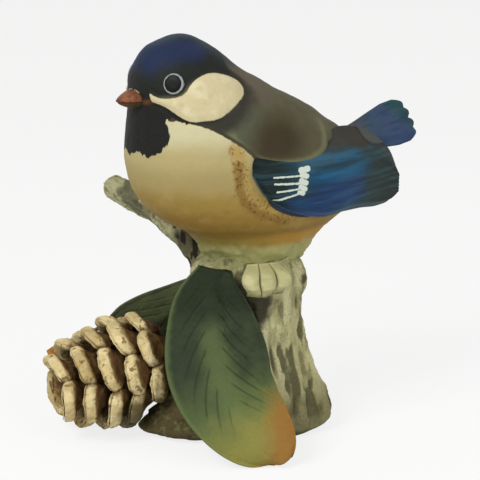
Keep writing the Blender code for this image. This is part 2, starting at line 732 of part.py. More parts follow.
def make_cone(core_finish, scale_finish, stump):
    matrix = cone_frame()
    frame = bpy.data.objects.new("cone_frame", None)
    bpy.context.scene.collection.objects.link(frame)
    frame.matrix_world = matrix
    levels = [k / 9 for k in range(10)]
    radii = [CONE_CORE_RADIUS * smooth_table(CORE_STATIONS, level)[1] - FIT for level in levels]
    path = [Vector((0, 0, level * CONE_LENGTH)) for level in levels]
    core = loft("cone_core", tube_rings(path, radii, 16), core_finish, frame)
    reach = CONE_STANDOFF + STUMP_WALL + PLUG_DEPTH
    stalk_path = [Vector((0, 0, z)) for z in (-reach, -0.5 * reach, PLUG_DEPTH)]
    loft("cone_stalk", tube_rings(stalk_path, [STALK_RADIUS] * 3, 12), core_finish, frame)
    bore = [STALK_RADIUS + FIT] * 2
    socket = [Vector((0, 0, z)) for z in (-PLUG_DEPTH, PLUG_DEPTH + FIT)]
    cut_pocket(core, "stalk_socket", tube_rings(socket, bore, 12))
    seat = [matrix @ Vector((0, 0, z)) for z in (-reach - FIT, 0.0)]
    cut_pocket(stump, "stalk_pocket", tube_rings(seat, bore, 12))
    number = 1
    for row, (share, count) in enumerate(SCALE_ROWS):
        turns = [(k + 0.5 * (row % 2)) / count for k in range(count)]
        if row == 0:
            # The lowest scales of the first row are left off, where the cone lies over the root.
            turns = sorted(turns, key=lambda turn: abs(math.remainder(turn, 1.0)))[:count - SCALES_OVER_ROOT]
            turns.sort()
        pattern = None
        for turn in turns:
            name = "cone_scale_%02d" % number
            if pattern is None:
                pattern = make_scale(name, share, count, scale_finish, frame)
                scale = pattern
            else:
                scale = bpy.data.objects.new(name, pattern.data)
                bpy.context.scene.collection.objects.link(scale)
                scale.parent = frame
            scale.rotation_euler.z = 2 * math.pi * turn
            number += 1


def make_scale(name, share, count, finish, frame):
    """One thick petal: a wedge of the row's cone-shaped sheet, narrow at its root and round at its rim."""
    splay = scale_splay(share)
    heel = share + SCALE_THICKNESS * math.sin(splay) / CONE_LENGTH
    core = CONE_CORE_RADIUS * smooth_table(CORE_STATIONS, heel)[1]
    length = SCALE_LENGTH * (0.62 + 0.38 * core / CONE_CORE_RADIUS)
    half = math.pi / count - FIT / (core + length * math.sin(splay))

    def at(u, v, depth):
        w = 2 * v - 1
        reach = length * u * (1 - 0.12 * w ** 2 - 0.22 * w ** 4)
        width = half * (0.62 + 0.38 * smoothstep(u * 1.6)) * (1 - 0.10 * u ** 6)
        radius = core + reach * math.sin(splay) + (SCALE_THICKNESS - depth) * math.cos(splay)
        radius -= SCALE_CUP * w * w * u
        along = share * CONE_LENGTH + reach * math.cos(splay) + depth * math.sin(splay)
        return Vector((radius * math.cos(w * width), radius * math.sin(w * width), along))

    def thickness(u, v):
        return SCALE_EDGE + (SCALE_THICKNESS - SCALE_EDGE) * smoothstep(3.5 * min(1 - u, v, 1 - v))

    def face(u, v):
        return at(u, v, 0.0)

    def back(u, v):
        return at(u, v, thickness(u, v))

    return plate(name, face, back, 5, 4, finish, frame)


# ---------------------------------------------------------------- assembly


def build():
    for old in list(bpy.data.objects):
        bpy.data.objects.remove(old, do_unlink=True)
    bark = material("bark", (0.38, 0.36, 0.18))
    skin = material("bird_paint", (0.45, 0.38, 0.20))
    blue = material("blue_feather", (0.03, 0.10, 0.24))
    horn = material("beak_paint", (0.26, 0.07, 0.03))
    black = material("eye_black", (0.01, 0.01, 0.012), 0.2)
    pale = material("toe_paint", (0.45, 0.43, 0.25))
    green = material("leaf_paint", (0.05, 0.09, 0.03))
    brown = material("cone_recess", (0.10, 0.06, 0.02))
    cream = material("cone_cream", (0.60, 0.47, 0.24))

    stump = make_stump(bark)
    bird_frame = bpy.data.objects.new("bird_frame", None)
    bpy.context.scene.collection.objects.link(bird_frame)
    bird_frame.location.z = STUMP_HEIGHT + FIT
    bird_frame.rotation_euler.z = BIRD_HEADING
    body = make_bird_body(skin, bird_frame)
    make_wing("left_wing", 1, blue, bird_frame)
    make_wing("right_wing", -1, blue, bird_frame)
    make_tail(blue, bird_frame, body)
    make_beak(horn, horn, bird_frame, body)
    make_eyes(black, bird_frame, body)
    make_foot("left_foot", 1, pale)
    make_foot("right_foot", -1, pale)
    make_branch(bark, stump)
    make_front_leaf(green)
    make_rear_leaf(green)
    make_cone(brown, cream, stump)


build()
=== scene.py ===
"""The finish of a bisque porcelain figurine: a garden bird on a tree stump, with leaves and a pine cone.

Each painted piece is a fine mesh that stands for one node of the frame. Shapes are worked out in
millimetres, in the same frame as the CAD, and turned into metres when a mesh is made.
"""

import math

import bpy
import numpy as np
from mathutils import Matrix, Vector, noise


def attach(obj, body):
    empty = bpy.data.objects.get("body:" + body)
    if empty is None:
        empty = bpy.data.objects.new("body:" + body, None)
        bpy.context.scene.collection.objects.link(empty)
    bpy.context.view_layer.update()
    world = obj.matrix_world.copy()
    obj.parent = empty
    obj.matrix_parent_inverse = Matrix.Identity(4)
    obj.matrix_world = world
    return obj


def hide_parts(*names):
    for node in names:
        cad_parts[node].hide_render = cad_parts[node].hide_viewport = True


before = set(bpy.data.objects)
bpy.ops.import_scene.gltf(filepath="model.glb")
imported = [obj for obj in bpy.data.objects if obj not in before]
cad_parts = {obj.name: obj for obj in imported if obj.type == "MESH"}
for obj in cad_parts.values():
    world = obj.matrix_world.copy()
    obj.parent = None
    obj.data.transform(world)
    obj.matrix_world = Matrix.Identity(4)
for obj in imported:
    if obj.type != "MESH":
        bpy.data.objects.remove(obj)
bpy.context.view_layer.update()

MM = 0.001

# ---------------------------------------------------------------- sizes: millimetres, radians and shares

STUMP_HEIGHT = 48.0
TRUNK_RADIUS = 14.2
TRUNK_DEPTH_RATIO = 0.94
ROOT_LOBE = 2.4
ROOT_SPUR = 8.5
ROOT_SPUR_HEIGHT = 11.5
ROOT_SPUR_SPREAD = math.radians(25)
SPUR_BEARING = math.radians(186)
BARK_DEPTH = 0.55
TRUNK_CENTRE = np.array((2.0, 1.0, 0.0))
FIT = 0.3
PLUG_DEPTH = 2.2

BIRD_HEADING = math.radians(210)
BIRD_HEIGHT = 58.6
BREAST_REACH = 31.4
RUMP_REACH = 36.0
FLANK_HALF_WIDTH = 20.5
MANTLE_RELIEF = 1.3
MANTLE_BACK, MANTLE_RISE, MANTLE_HALF_LENGTH, MANTLE_HALF_HEIGHT = 0.15, 0.62, 0.42, 0.185
CROWN_RISE = 0.8
# How far the body's painted foot is bedded into the lumpy slip on the stump.
SEAT_BEDDING = 0.8

WING_BEND_REACH = 8.0
WING_TIP_REACH = 44.0
WING_THICKNESS = 3.0
WING_TIP_SPREAD = 7.0
WING_LEAVES = 0.62
WING_FEATHERS = 7.5

TAIL_REACH = 22.9
TAIL_ROOT_WIDTH = 7.2
TAIL_TIP_WIDTH = 12.6
TAIL_THICKNESS = 2.6
TAIL_RISE = math.radians(13)
TAIL_ROLL = math.radians(30)
TAIL_FEATHERS = 4
TAIL_END_ROUND = 2.4
TAIL_NOTCH = 0.9
TAIL_HEIGHT = 26.8

BEAK_LENGTH = 5.2
BEAK_WIDTH = 8.2
BEAK_DEPTH = 5.6
BEAK_HEIGHT = BIRD_HEIGHT - 15.4
BEAK_TIP_ROUND = 0.7
BEAK_DROOP = 0.25
BEAK_SLIT = 0.08
EYE_RADIUS = 2.6
EYE_BULGE = 0.9
EYE_SEAT = 0.8
EYE_SINK = 0.1
EYE_HEIGHT = BIRD_HEIGHT - 10.4
EYE_BEARING = math.radians(47)
EYE_UPTURN = 4.0
EYE_RING_INSET = 0.24
EYE_RING_HALF_WIDTH = 0.20

TOE_THICKNESS = 2.2
FOOT_REACH = 6.2
FOOT_HALF_ANGLE = math.radians(21)
FOOT_STAGGER = math.radians(11)
FOOT_TAPER = 0.2
TOES = 3
# The painted toes go a little past the CAD's: down and up the bark, to the sides and off it.
TOE_DROP = 1.12 * FOOT_REACH + 1.0
TOE_RISE_SHARE = 0.02
TOE_SPREAD = 1.2
TOE_SWELL = 0.6

BRANCH_ROOT_RADIUS = 3.8
BRANCH_TIP_RADIUS = 3.3
BRANCH_REACH = 28.0
BRANCH_RISE = 18.6
BRANCH_LEVELLING = 0.53
BRANCH_BEARING = math.radians(151)
BRANCH_ROOT_DROP = 5.0

LEAF_THICKNESS = 1.8
LEAF_EDGE = 1.0
LEAF_CUP = 2.2
FRONT_LEAF_HALF_WIDTH = 13.2
FRONT_LEAF_KICK = 17.0
FRONT_LEAF_KICK_START = 0.2
FRONT_LEAF_KICK_POWER = 1.5
FRONT_LEAF_DROP_POWER = 0.94
FRONT_LEAF_TURN_POWER = 1.5
FRONT_LEAF_STANDOFF = 1.8
FRONT_LEAF_TIP_HEIGHT = 1.6
FRONT_LEAF_BEARING = math.radians(243)
FRONT_LEAF_SWING = math.radians(42)
FRONT_LEAF_BOW = math.radians(10)
REAR_LEAF_HALF_WIDTH = 8.8
REAR_LEAF_STANDOFF = 0.8
REAR_LEAF_TIP_REACH = -1.5
REAR_LEAF_ROOT_SHARE = 0.77
REAR_LEAF_BEARING = math.radians(148)
REAR_LEAF_LEAN = math.radians(104)
REAR_LEAF_TIP_LEAN = math.radians(80)
REAR_LEAF_BOW = 1.25
REAR_LEAF_TUCK = 0.8

CONE_LENGTH = 29.0
CONE_CORE_RADIUS = 8.4
CONE_BEARING = math.radians(203)
CONE_DIP = math.radians(9)
CONE_STANDOFF = 6.5
CONE_OFFSET = 2.5
STALK_RADIUS = 2.4
STALK_SEAT = 3.2
SCALE_LENGTH = 10.0
SCALE_THICKNESS = 2.5
SCALE_SPLAY = math.radians(34)
TIP_SPLAY = math.radians(30)
CONE_BELLY_SHARE = 0.25
CONE_REST_SHARE = 0.30
SCALE_ROWS = ((0.04, 7), (0.25, 7), (0.46, 6), (0.67, 5), (0.86, 3))
SCALES_OVER_ROOT = 2
TABLE_CLEARANCE = 0.5

# Relief that only the painted meshes have: how far it stands out or is pressed in.
CHEEK_PUFF = 0.35
CHEEK_GROOVE = 0.25
TUFT_RELIEF = 0.16
MANTLE_LIP = 0.55
GOLD_RIDGE_RELIEF = 0.30
BROW_RELIEF = 0.9
NAPE_DIP = 1.3
SEAT_LUMPS = 1.1
SEAT_LINE = 0.25
WING_LOWER_EDGE = 0.9
WING_UPPER_EDGE = 1.4
WING_ROOT_SINK = 0.6
WING_TIP_LIFT = 0.8
WING_GROOVE = 0.28
TAIL_GROOVE = 0.30
BARK_GROOVE = 0.55
BARK_CRACK = 0.50
BARK_LUMPS = 0.35
BARK_CREASE = 0.55
SPUR_LUMPS = 1.4
SPUR_SWELL = 2.3
RIM_SWELL = 0.7
RIM_LUMPS = 2.4
BRANCH_GROOVE = 0.45
BRANCH_LUMPS = 0.35
CORE_LUMPS = 0.9
STALK_LUMPS = 0.35
SCALE_CUP = 0.6
SCALE_ROUND = 1.1
SCALE_LIP = 0.5
SCALE_DISH = 0.5
SCALE_LUMPS = 0.42

# How much the cone's scales differ from each other: their splay, and shares of their length and their turn.
SPLAY_WANDER = math.radians(3.0)
LENGTH_WANDER = 0.05
TURN_WANDER = 0.05

# Bird: height, breast reach, rump reach, half width, and how far the widest point lies forward.
BIRD_STATIONS = (
    (0.000, 0.30, 0.50, 0.56, 0.00),
    (0.043, 0.35, 0.55, 0.62, 0.00),
    (0.113, 0.45, 0.66, 0.73, 0.00),
    (0.199, 0.72, 0.86, 0.91, 0.02),
    (0.312, 0.92, 1.00, 0.99, 0.05),
    (0.459, 1.00, 0.94, 1.00, 0.06),
    (0.589, 0.99, 0.72, 0.93, 0.10),
    (0.693, 0.97, 0.47, 0.84, 0.12),
    (0.780, 0.975, 0.19, 0.75, 0.10),
    (0.867, 0.93, -0.04, 0.64, 0.05),
    (0.945, 0.81, -0.23, 0.435, 0.00),
    (0.988, 0.65, -0.375, 0.20, 0.00),
)
# Stump: height, radius, and how strongly the roots show.
STUMP_STATIONS = (
    (0.000, 1.14, 0.55),
    (0.045, 1.34, 0.95),
    (0.120, 1.43, 1.00),
    (0.210, 1.37, 0.85),
    (0.320, 1.22, 0.50),
    (0.440, 1.10, 0.25),
    (0.580, 1.02, 0.10),
    (0.740, 0.96, 0.15),
    (0.860, 1.04, 0.20),
    (0.940, 1.01, 0.10),
    (0.985, 0.93, 0.05),
    (1.000, 0.86, 0.00),
)
RIM_SHARE = STUMP_STATIONS[-2][0]
# Wing: place along the wing, lower edge and upper edge as shares of the bird's height.
# The upper edge runs in under the mantle.
WING_STATIONS = (
    (0.00, 0.430, 0.515),
    (0.03, 0.380, 0.515),
    (0.15, 0.285, 0.510),
    (0.28, 0.235, 0.510),
    (0.42, 0.205, 0.530),
    (0.55, 0.200, 0.565),
    (0.72, 0.195, 0.560),
    (0.86, 0.185, 0.490),
    (0.95, 0.200, 0.410),
    (1.00, 0.235, 0.330),
)
# Beak: place from its root to its tip, and size there.
BEAK_STATIONS = ((0, 1), (0.3, 0.99), (0.52, 0.86), (0.72, 0.62), (0.88, 0.38), (0.97, 0.2), (1.0, 0.06))
# Leaves: place along the midrib and half width.
FRONT_LEAF_STATIONS = (
    (0.00, 0.36),
    (0.12, 0.66),
    (0.30, 0.88),
    (0.50, 1.00),
    (0.70, 0.92),
    (0.86, 0.68),
    (0.95, 0.42),
    (1.00, 0.20),
)
REAR_LEAF_STATIONS = (
    (0.00, 0.36),
    (0.12, 0.66),
    (0.28, 0.96),
    (0.40, 1.00),
    (0.54, 0.78),
    (0.70, 0.58),
    (0.86, 0.48),
    (0.95, 0.34),
    (1.00, 0.18),
)
# Cone core: place along the axis and radius.
CORE_STATIONS = (
    (0.00, 0.84),
    (0.10, 0.96),
    (0.28, 1.00),
    (0.50, 0.93),
    (0.70, 0.76),
    (0.88, 0.50),
    (1.00, 0.24),
)


# ---------------------------------------------------------------- numbers on arrays


def column(stations, place, number=1):
    """One column of a station table at each place, on a smooth curve."""
    keys = np.array([row[0] for row in stations])
    values = np.array([row[number] for row in stations])
    slopes = np.gradient(values, keys)
    place = np.clip(place, keys[0], keys[-1])
    k = np.clip(np.searchsorted(keys, place) - 1, 0, len(keys) - 2)
    span = keys[k + 1] - keys[k]
    t = (place - keys[k]) / span
    start = values[k] * (1 + 2 * t) * (1 - t) ** 2 + slopes[k] * span * t * (1 - t) ** 2
    end = values[k + 1] * t * t * (3 - 2 * t) + slopes[k + 1] * span * t * t * (t - 1)
    return start + end


def smoothstep(value):
    value = np.clip(value, 0.0, 1.0)
    return value * value * (3 - 2 * value)


def fade(value, start, end):
    """0 on start's side, 1 on end's side, smooth between them."""
    return smoothstep((value - start) / (end - start))


def mix(low, high, share):
    return low + (high - low) * share


def stack(*parts):
    return np.stack(np.broadcast_arrays(*parts), axis=-1)


def unit(vectors):
    return vectors / np.maximum(np.linalg.norm(vectors, axis=-1, keepdims=True), 1e-9)


def turned(points, angle):
    """Points turned about the vertical."""
    cosine, sine = math.cos(angle), math.sin(angle)
    x, y, z = points[..., 0], points[..., 1], points[..., 2]
    return stack(x * cosine - y * sine, x * sine + y * cosine, z)


def grid(rows, columns):
    """Shares from 0 to 1 down the rows and along the columns of a grid."""
    return np.meshgrid(np.linspace(0, 1, rows), np.linspace(0, 1, columns), indexing="ij")


def round_angles(count):
    """Angles spaced evenly round a circle."""
    return 2 * np.pi * np.arange(count) / count


def apart(first, second):
    """The signed turn from one angle to the other, the short way round."""
    return (first - second + np.pi) % (2 * np.pi) - np.pi


def bump(distance, width):
    """1 where the distance is 0, falling off smoothly over the width."""
    return np.exp(-((distance / width) ** 2))


def grain(points, size, octaves=3, shift=0.0, upright=1.0):
    """Fractal noise at each point, about -1 to 1, whose broadest lumps have the given size.

    An upright share under 1 draws the lumps out along Z.
    """
    flat = (points.reshape(-1, 3) * np.array((1.0, 1.0, upright)) / size + shift).tolist()
    values = [noise.fractal(point, 1.0, 2.0, octaves) for point in flat]
    return np.array(values).reshape(points.shape[:-1])


def outward(rings):
    """Unit normals of a skin of closed rings, pointing away from the rings' middles."""
    along = np.gradient(rings, axis=0)
    around = np.roll(rings, -1, axis=1) - np.roll(rings, 1, axis=1)
    normals = unit(np.cross(along, around))
    away = rings - rings.mean(axis=1, keepdims=True)
    return normals * np.sign((normals * away).sum(axis=-1).mean())


def closing_rings(rim, rows):
    """Rings that shrink from a rim to its middle, and each one's share of the rim's size."""
    shrink = np.cos(np.pi / 2 * np.linspace(0, 1, rows + 1)[1:-1])[:, None]
    middle = rim.mean(0)
    return middle + (rim - middle) * shrink[..., None], shrink


def smooth_outline(corners, steps=6):
    """A closed curve through its corners."""
    points = np.array(corners, float)
    before, after, beyond = np.roll(points, 1, 0), np.roll(points, -1, 0), np.roll(points, -2, 0)
    t = (np.arange(steps) / steps)[None, :, None]
    a, b, c, d = (part[:, None, :] for part in (before, points, after, beyond))
    square, cube = 2 * a - 5 * b + 4 * c - d, 3 * b - a - 3 * c + d
    curve = 0.5 * (2 * b + (c - a) * t + square * t * t + cube * t ** 3)
    return curve.reshape(-1, 2)


def inside(corners, x, y):
    """Signed distance to a smooth closed outline, positive inside it."""
    outline = smooth_outline(corners)
    distance = np.full(x.shape, 1e9)
    within = np.zeros(x.shape, bool)
    for (ax, ay), (bx, by) in zip(outline, np.roll(outline, -1, 0)):
        dx, dy = bx - ax, by - ay
        share = np.clip(((x - ax) * dx + (y - ay) * dy) / max(dx * dx + dy * dy, 1e-9), 0, 1)
        distance = np.minimum(distance, np.hypot(x - ax - share * dx, y - ay - share * dy))
        if ay != by:
            within ^= ((ay > y) != (by > y)) & (x < dx * (y - ay) / dy + ax)
    return np.where(within, distance, -distance)


def stroke(start, end, half_width, x, y):
    """Signed distance to one brush stroke, positive under it."""
    dx, dy = end[0] - start[0], end[1] - start[1]
    share = np.clip(((x - start[0]) * dx + (y - start[1]) * dy) / (dx * dx + dy * dy), 0, 1)
    return half_width - np.hypot(x - start[0] - share * dx, y - start[1] - share * dy)


def capsule(start, end, radius, points):
    """Signed distance to a round-ended bar in space, positive inside it."""
    start, along = np.array(start, float), np.array(end, float) - np.array(start, float)
    share = np.clip(((points - start) @ along) / (along @ along), 0, 1)
    return radius - np.linalg.norm(points - start - share[..., None] * along, axis=-1)


def path(corners, radius, points):
    """Signed distance to a chain of round-ended bars."""
    bars = [capsule(start, end, radius, points) for start, end in zip(corners[:-1], corners[1:])]
    return np.max(bars, axis=0)


# ---------------------------------------------------------------- meshes


def added(name, data):
    """A new object in the scene."""
    thing = bpy.data.objects.new(name, data)
    bpy.context.scene.collection.objects.link(thing)
    return thing


def skin(node, rings, finish, paint=None):
    """A closed mesh through rings of points, ended by fans, that stands for one node of the frame.

    Paint holds one value per point for each name that the finish asks for.
    """
    name = node + "_painted"
    nodes = [node]
    rows, sides = rings.shape[:2]
    ends = np.array([rings[0].mean(0), rings[-1].mean(0)])
    points = np.concatenate([rings.reshape(-1, 3), ends]) * MM
    low = np.arange((rows - 1) * sides).reshape(rows - 1, sides)
    beside = np.roll(low, -1, axis=1)
    quads = stack(low, beside, beside + sides, low + sides).reshape(-1, 4)
    first = np.arange(sides)
    last = first + (rows - 1) * sides
    start_fan = stack(np.roll(first, -1), first, rows * sides)
    end_fan = stack(last, np.roll(last, -1), rows * sides + 1)
    mesh = bpy.data.meshes.new(name)
    mesh.from_pydata(points.tolist(), [], quads.tolist() + start_fan.tolist() + end_fan.tolist())
    for key, values in (paint or {}).items():
        values = np.broadcast_to(values, (rows, sides))
        both = np.concatenate([values.reshape(-1), [values[0].mean(), values[-1].mean()]])
        layer = mesh.attributes.new(key, "FLOAT", "POINT")
        layer.data.foreach_set("value", both.astype(np.float32))
    mesh.materials.append(finish)
    mesh.shade_smooth()
    piece = added(name, mesh)
    if signed_volume(mesh) < 0:
        mesh.flip_normals()
    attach(piece, "root")
    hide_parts(*nodes)


def signed_volume(mesh):
    """Six times a closed mesh's volume, negative if its faces look inwards."""
    points = np.zeros(len(mesh.vertices) * 3)
    mesh.vertices.foreach_get("co", points)
    points = points.reshape(-1, 3)
    mesh.calc_loop_triangles()
    corners = np.zeros(len(mesh.loop_triangles) * 3, np.int32)
    mesh.loop_triangles.foreach_get("vertices", corners)
    a, b, c = (points[corners.reshape(-1, 3)[:, k]] for k in range(3))
    return (a * np.cross(b, c)).sum()


def blade(face, back):
    """Closed rings round a blade, from grids of its face and its back."""
    return np.concatenate([face, back[:, ::-1]], axis=1)


def both_sides(values):
    """Paint for a blade's face repeated on its back."""
    return np.concatenate([values, values[:, ::-1]], axis=1)


def blade_skin(node, face, back, finish, paint):
    """The painted skin of a blade, from grids of its face and its back and the face's paint."""
    skin(node, blade(face, back), finish, {key: both_sides(values) for key, values in paint.items()})


def raised(points, relief):
    """Rings of points pushed out along the skin's normals."""
    return points + outward(points) * relief[..., None]


def tube(spine, radii, sides):
    """Rings square to a spine."""
    ahead = unit(np.gradient(spine, axis=0))
    side = np.array(Vector(ahead[0]).orthogonal().normalized())
    frames = []
    for direction in ahead:
        side = side - direction * side.dot(direction)
        side = side / np.linalg.norm(side)
        frames.append((side, np.cross(direction, side)))
    frames = np.array(frames)
    angles = round_angles(sides)[:, None]
    round_them = frames[:, None, 0] * np.cos(angles) + frames[:, None, 1] * np.sin(angles)
    return spine[:, None] + round_them * np.array(radii)[:, None, None]


# ---------------------------------------------------------------- paints


SHEEN = 0.12


def srgb(red, green, blue):
    """A colour as a screen shows it, in the shader's linear numbers."""
    parts = np.array((red, green, blue)) / 255
    linear = np.where(parts <= 0.04045, parts / 12.92, ((parts + 0.055) / 1.055) ** 2.4)
    return (*linear, 1.0)


class Nodes:
    """The nodes of a material or a world."""

    def __init__(self, owner):
        owner.use_nodes = True
        self.tree = owner.node_tree

    def add(self, kind, **settings):
        node = self.tree.nodes.new(kind)
        for key, value in settings.items():
            setattr(node, key, value)
        return node

    def join(self, value, socket):
        """Links a socket's value, or sets a number or a colour."""
        if isinstance(value, bpy.types.NodeSocket):
            self.tree.links.new(value, socket)
        else:
            socket.default_value = srgb(*value) if isinstance(value, tuple) else value

    def maths(self, operation, first, second):
        node = self.add("ShaderNodeMath", operation=operation)
        self.join(first, node.inputs[0])
        self.join(second, node.inputs[1])
        return node.outputs[0]


class Paint(Nodes):
    """A matte ceramic finish, built up in brushed layers over a ground colour."""

    def __init__(self, name, slot, ground, roughness=0.62):
        self.made = bpy.data.materials.new(name)
        self.made["slot"] = slot
        super().__init__(self.made)
        self.shader = self.tree.nodes["Principled BSDF"]
        self.shader.inputs["Roughness"].default_value = roughness
        self.shader.inputs["Specular IOR Level"].default_value = SHEEN
        self.place = self.add("ShaderNodeTexCoord").outputs["Object"]
        self.colour = self.ground(ground)
        self.height = None

    def noise(self, size, detail=3.0, stretch=None):
        """Noise from 0 to 1 with lumps of a size in millimetres."""
        node = self.add("ShaderNodeTexNoise")
        place = self.place
        if stretch:
            mapping = self.add("ShaderNodeMapping")
            mapping.inputs["Scale"].default_value = stretch
            self.join(place, mapping.inputs["Vector"])
            place = mapping.outputs[0]
        self.join(place, node.inputs["Vector"])
        node.inputs["Scale"].default_value = 1 / (size * MM)
        node.inputs["Detail"].default_value = detail
        return node.outputs["Fac"]

    def value(self, attribute):
        return self.add("ShaderNodeAttribute", attribute_name=attribute).outputs["Fac"]

    def ramp(self, value, start, end, amount=1.0):
        """0 on start's side, the amount on end's side."""
        node = self.add("ShaderNodeMapRange", interpolation_type="SMOOTHSTEP")
        self.join(value, node.inputs["Value"])
        node.inputs["From Min"].default_value = min(start, end)
        node.inputs["From Max"].default_value = max(start, end)
        node.inputs["To Min"].default_value = amount if start > end else 0.0
        node.inputs["To Max"].default_value = 0.0 if start > end else amount
        return node.outputs["Result"]

    def over(self, colour, share):
        """Lays a colour over what is there."""
        node = self.add("ShaderNodeMix", data_type="RGBA")
        self.join(share, node.inputs["Factor"])
        self.join(self.colour, node.inputs[6])
        self.join(colour, node.inputs[7])
        self.colour = node.outputs[2]

    def mottle(self, colour, size, amount, start=0.45, end=0.75, stretch=None, detail=4.0):
        """Clouds of another colour."""
        clouds = self.ramp(self.noise(size, detail, stretch), start, end)
        self.over(colour, self.maths("MULTIPLY", clouds, amount))

    def wash(self, attribute, colour, start, end, amount=1.0, ragged=0.0, size=2.0, stretch=None):
        """A colour that comes in as an attribute goes from start to end, up to ragged off either way."""
        value = self.value(attribute)
        if ragged:
            wobble = self.maths("SUBTRACT", self.noise(size, 4.0, stretch), 0.5)
            value = self.maths("ADD", value, self.maths("MULTIPLY", wobble, 2 * ragged))
        self.over(colour, self.ramp(value, start, end, amount))

    def ground(self, colour):
        """A plain colour to start a layer of its own with."""
        node = self.add("ShaderNodeRGB")
        node.outputs[0].default_value = srgb(*colour)
        return node.outputs[0]

    def layer(self, ground, brush):
        """A layer mixed on its own, to be laid over the rest: a ground colour and what the brush adds."""
        below = self.colour
        self.colour = self.ground(ground)
        brush(self)
        mixed, self.colour = self.colour, below
        return mixed

    def flecks(self, attribute, colour, size, start, end, amount):
        """Small flecks that come in as an attribute goes from start to end."""
        spots = self.ramp(self.noise(size, 4.0), 0.52, 0.66)
        share = self.maths("MULTIPLY", spots, self.ramp(self.value(attribute), start, end))
        self.over(colour, self.maths("MULTIPLY", share, amount))

    def speckle(self, colour, size, plenty, amount):
        """Small separate specks, more of them where plenty is nearer 1."""
        self.mottle(colour, size, amount, 1 - plenty, 1.03 - plenty, detail=1.0)

    def relief(self, size, depth, detail=4.0, stretch=None):
        """Fine bumps with lumps of a size and a depth in millimetres."""
        lumps = self.maths("MULTIPLY", self.noise(size, detail, stretch), depth * MM)
        self.height = lumps if self.height is None else self.maths("ADD", self.height, lumps)

    def done(self):
        self.join(self.colour, self.shader.inputs["Base Color"])
        if self.height is not None:
            bumps = self.add("ShaderNodeBump")
            bumps.inputs["Distance"].default_value = 1.0
            self.join(self.height, bumps.inputs["Height"])
            self.join(bumps.outputs["Normal"], self.shader.inputs["Normal"])
        return self.made


# ---------------------------------------------------------------- bird


def bird_section(height):
    """Front, back, half width and forward lean of the bird's level outline at a height over its seat."""
    share = height / BIRD_HEIGHT
    front, back, half_width, lean = (column(BIRD_STATIONS, share, k) for k in (1, 2, 3, 4))
    return BREAST_REACH * front, -RUMP_REACH * back, FLANK_HALF_WIDTH * half_width, lean


def mantle_distance(forward, height):
    """1 at the rim of the shoulder feathers, 0 at their middle."""
    along = (forward / RUMP_REACH + MANTLE_BACK) / MANTLE_HALF_LENGTH
    upward = (height / BIRD_HEIGHT - MANTLE_RISE) / MANTLE_HALF_HEIGHT
    return np.hypot(along, np.where(upward > 0, 0.75 * upward, upward))


def mantle_relief(forward, height):
    return MANTLE_RELIEF * smoothstep((1.10 - mantle_distance(forward, height)) / 0.30)


def flank(forward, height):
    """Half width of the bird's bare skin at a place along it, nothing past its ends."""
    front, back, half_width, lean = bird_section(height)
    cosine = np.clip((forward - (front + back) / 2) / ((front - back) / 2), -1, 1)
    sine = np.sqrt(1 - cosine * cosine)
    return half_width * sine * (1 + lean * cosine)


def bird_point(height, angle):
    """The bird's skin, with its shoulder feathers, at a height and an angle from the breast."""
    front, back, half_width, lean = bird_section(height)
    forward = (front + back) / 2 + (front - back) / 2 * np.cos(angle)
    left = half_width * np.sin(angle) * (1 + lean * np.cos(angle))
    facing = np.sign(np.sin(angle)) * smoothstep(np.abs(np.sin(angle)) * 2)
    left = left + mantle_relief(forward, height) * facing
    return stack(forward, left, height)


def in_world(points):
    """From the bird's own frame to the figurine's."""
    return turned(points, BIRD_HEADING) + np.array((0, 0, STUMP_HEIGHT + FIT))


# Outlines on the bird's skin: bearing from the breast in degrees, and height in millimetres.
CHEEK = (
    (22.5, 45.5), (27, 45.0), (33, 44.6), (41, 44.7), (48, 45.1), (55, 46.2), (63, 48.2), (73, 49.7),
    (87, 50.5), (100, 49.9), (108, 48.4), (107, 46.5), (98, 44.6), (86, 42.8), (75, 41.0), (66, 39.6),
    (57, 39.2), (49, 39.1), (43, 40.1), (38, 41.5), (33, 42.7), (27, 43.3), (23, 43.8),
)
BIB = (
    (-40, 44.0), (0, 45.0), (20, 45.2), (25, 43.2), (30, 42.9), (35, 42.2), (40, 41.2), (45, 39.8),
    (51, 38.8), (45, 38.8), (38, 39.4), (32, 39.6), (31, 38.6), (33, 37.2), (33.5, 35.0), (31, 33.2),
    (26, 31.2), (18, 29.6), (10, 30.6), (4, 30.0), (-4, 29.4), (-14, 30.4), (-24, 30.8), (-30, 33),
    (-34, 38),
)
BREAST = (
    (-2, 45), (30, 41), (34, 39.1), (41, 39.2), (47, 38.6), (53, 38.1), (60, 36.9), (65, 35.4),
    (69, 33.8), (73, 31.8), (76, 29.6), (77, 26.5), (77, 22), (78, 17.5), (84, 14.8), (95, 13.0),
    (110, 12.5), (130, 11.5), (150, 11), (178, 10), (200, 10), (200, -9), (0, -9), (-9, 20),
)
COLLAR = (
    (40, 40.6), (50, 38.6), (58, 37.6), (64, 36.6), (72, 37.2), (82, 39.4), (92, 42.0), (104, 44.2),
    (113, 46.2), (116, 49.0), (110, 51.6), (98, 52.2), (84, 52.0), (80, 48), (90, 44), (70, 40.6),
    (52, 40.4),
)
# Millimetres of skin to a degree of bearing, on a head of about this radius.
HEAD_RADIUS = 18.0
DEGREE = math.radians(1) * HEAD_RADIUS
# The cap's lower edge: bearing in degrees and height. Behind its end the nape is brown.
CAP_EDGE = (
    (0, 43.6), (24, 44.0), (45, 45.0), (60, 47.5), (80, 49.9), (100, 49.9), (112, 48.6), (180, 48.6),
)
CAP_END = 9.5
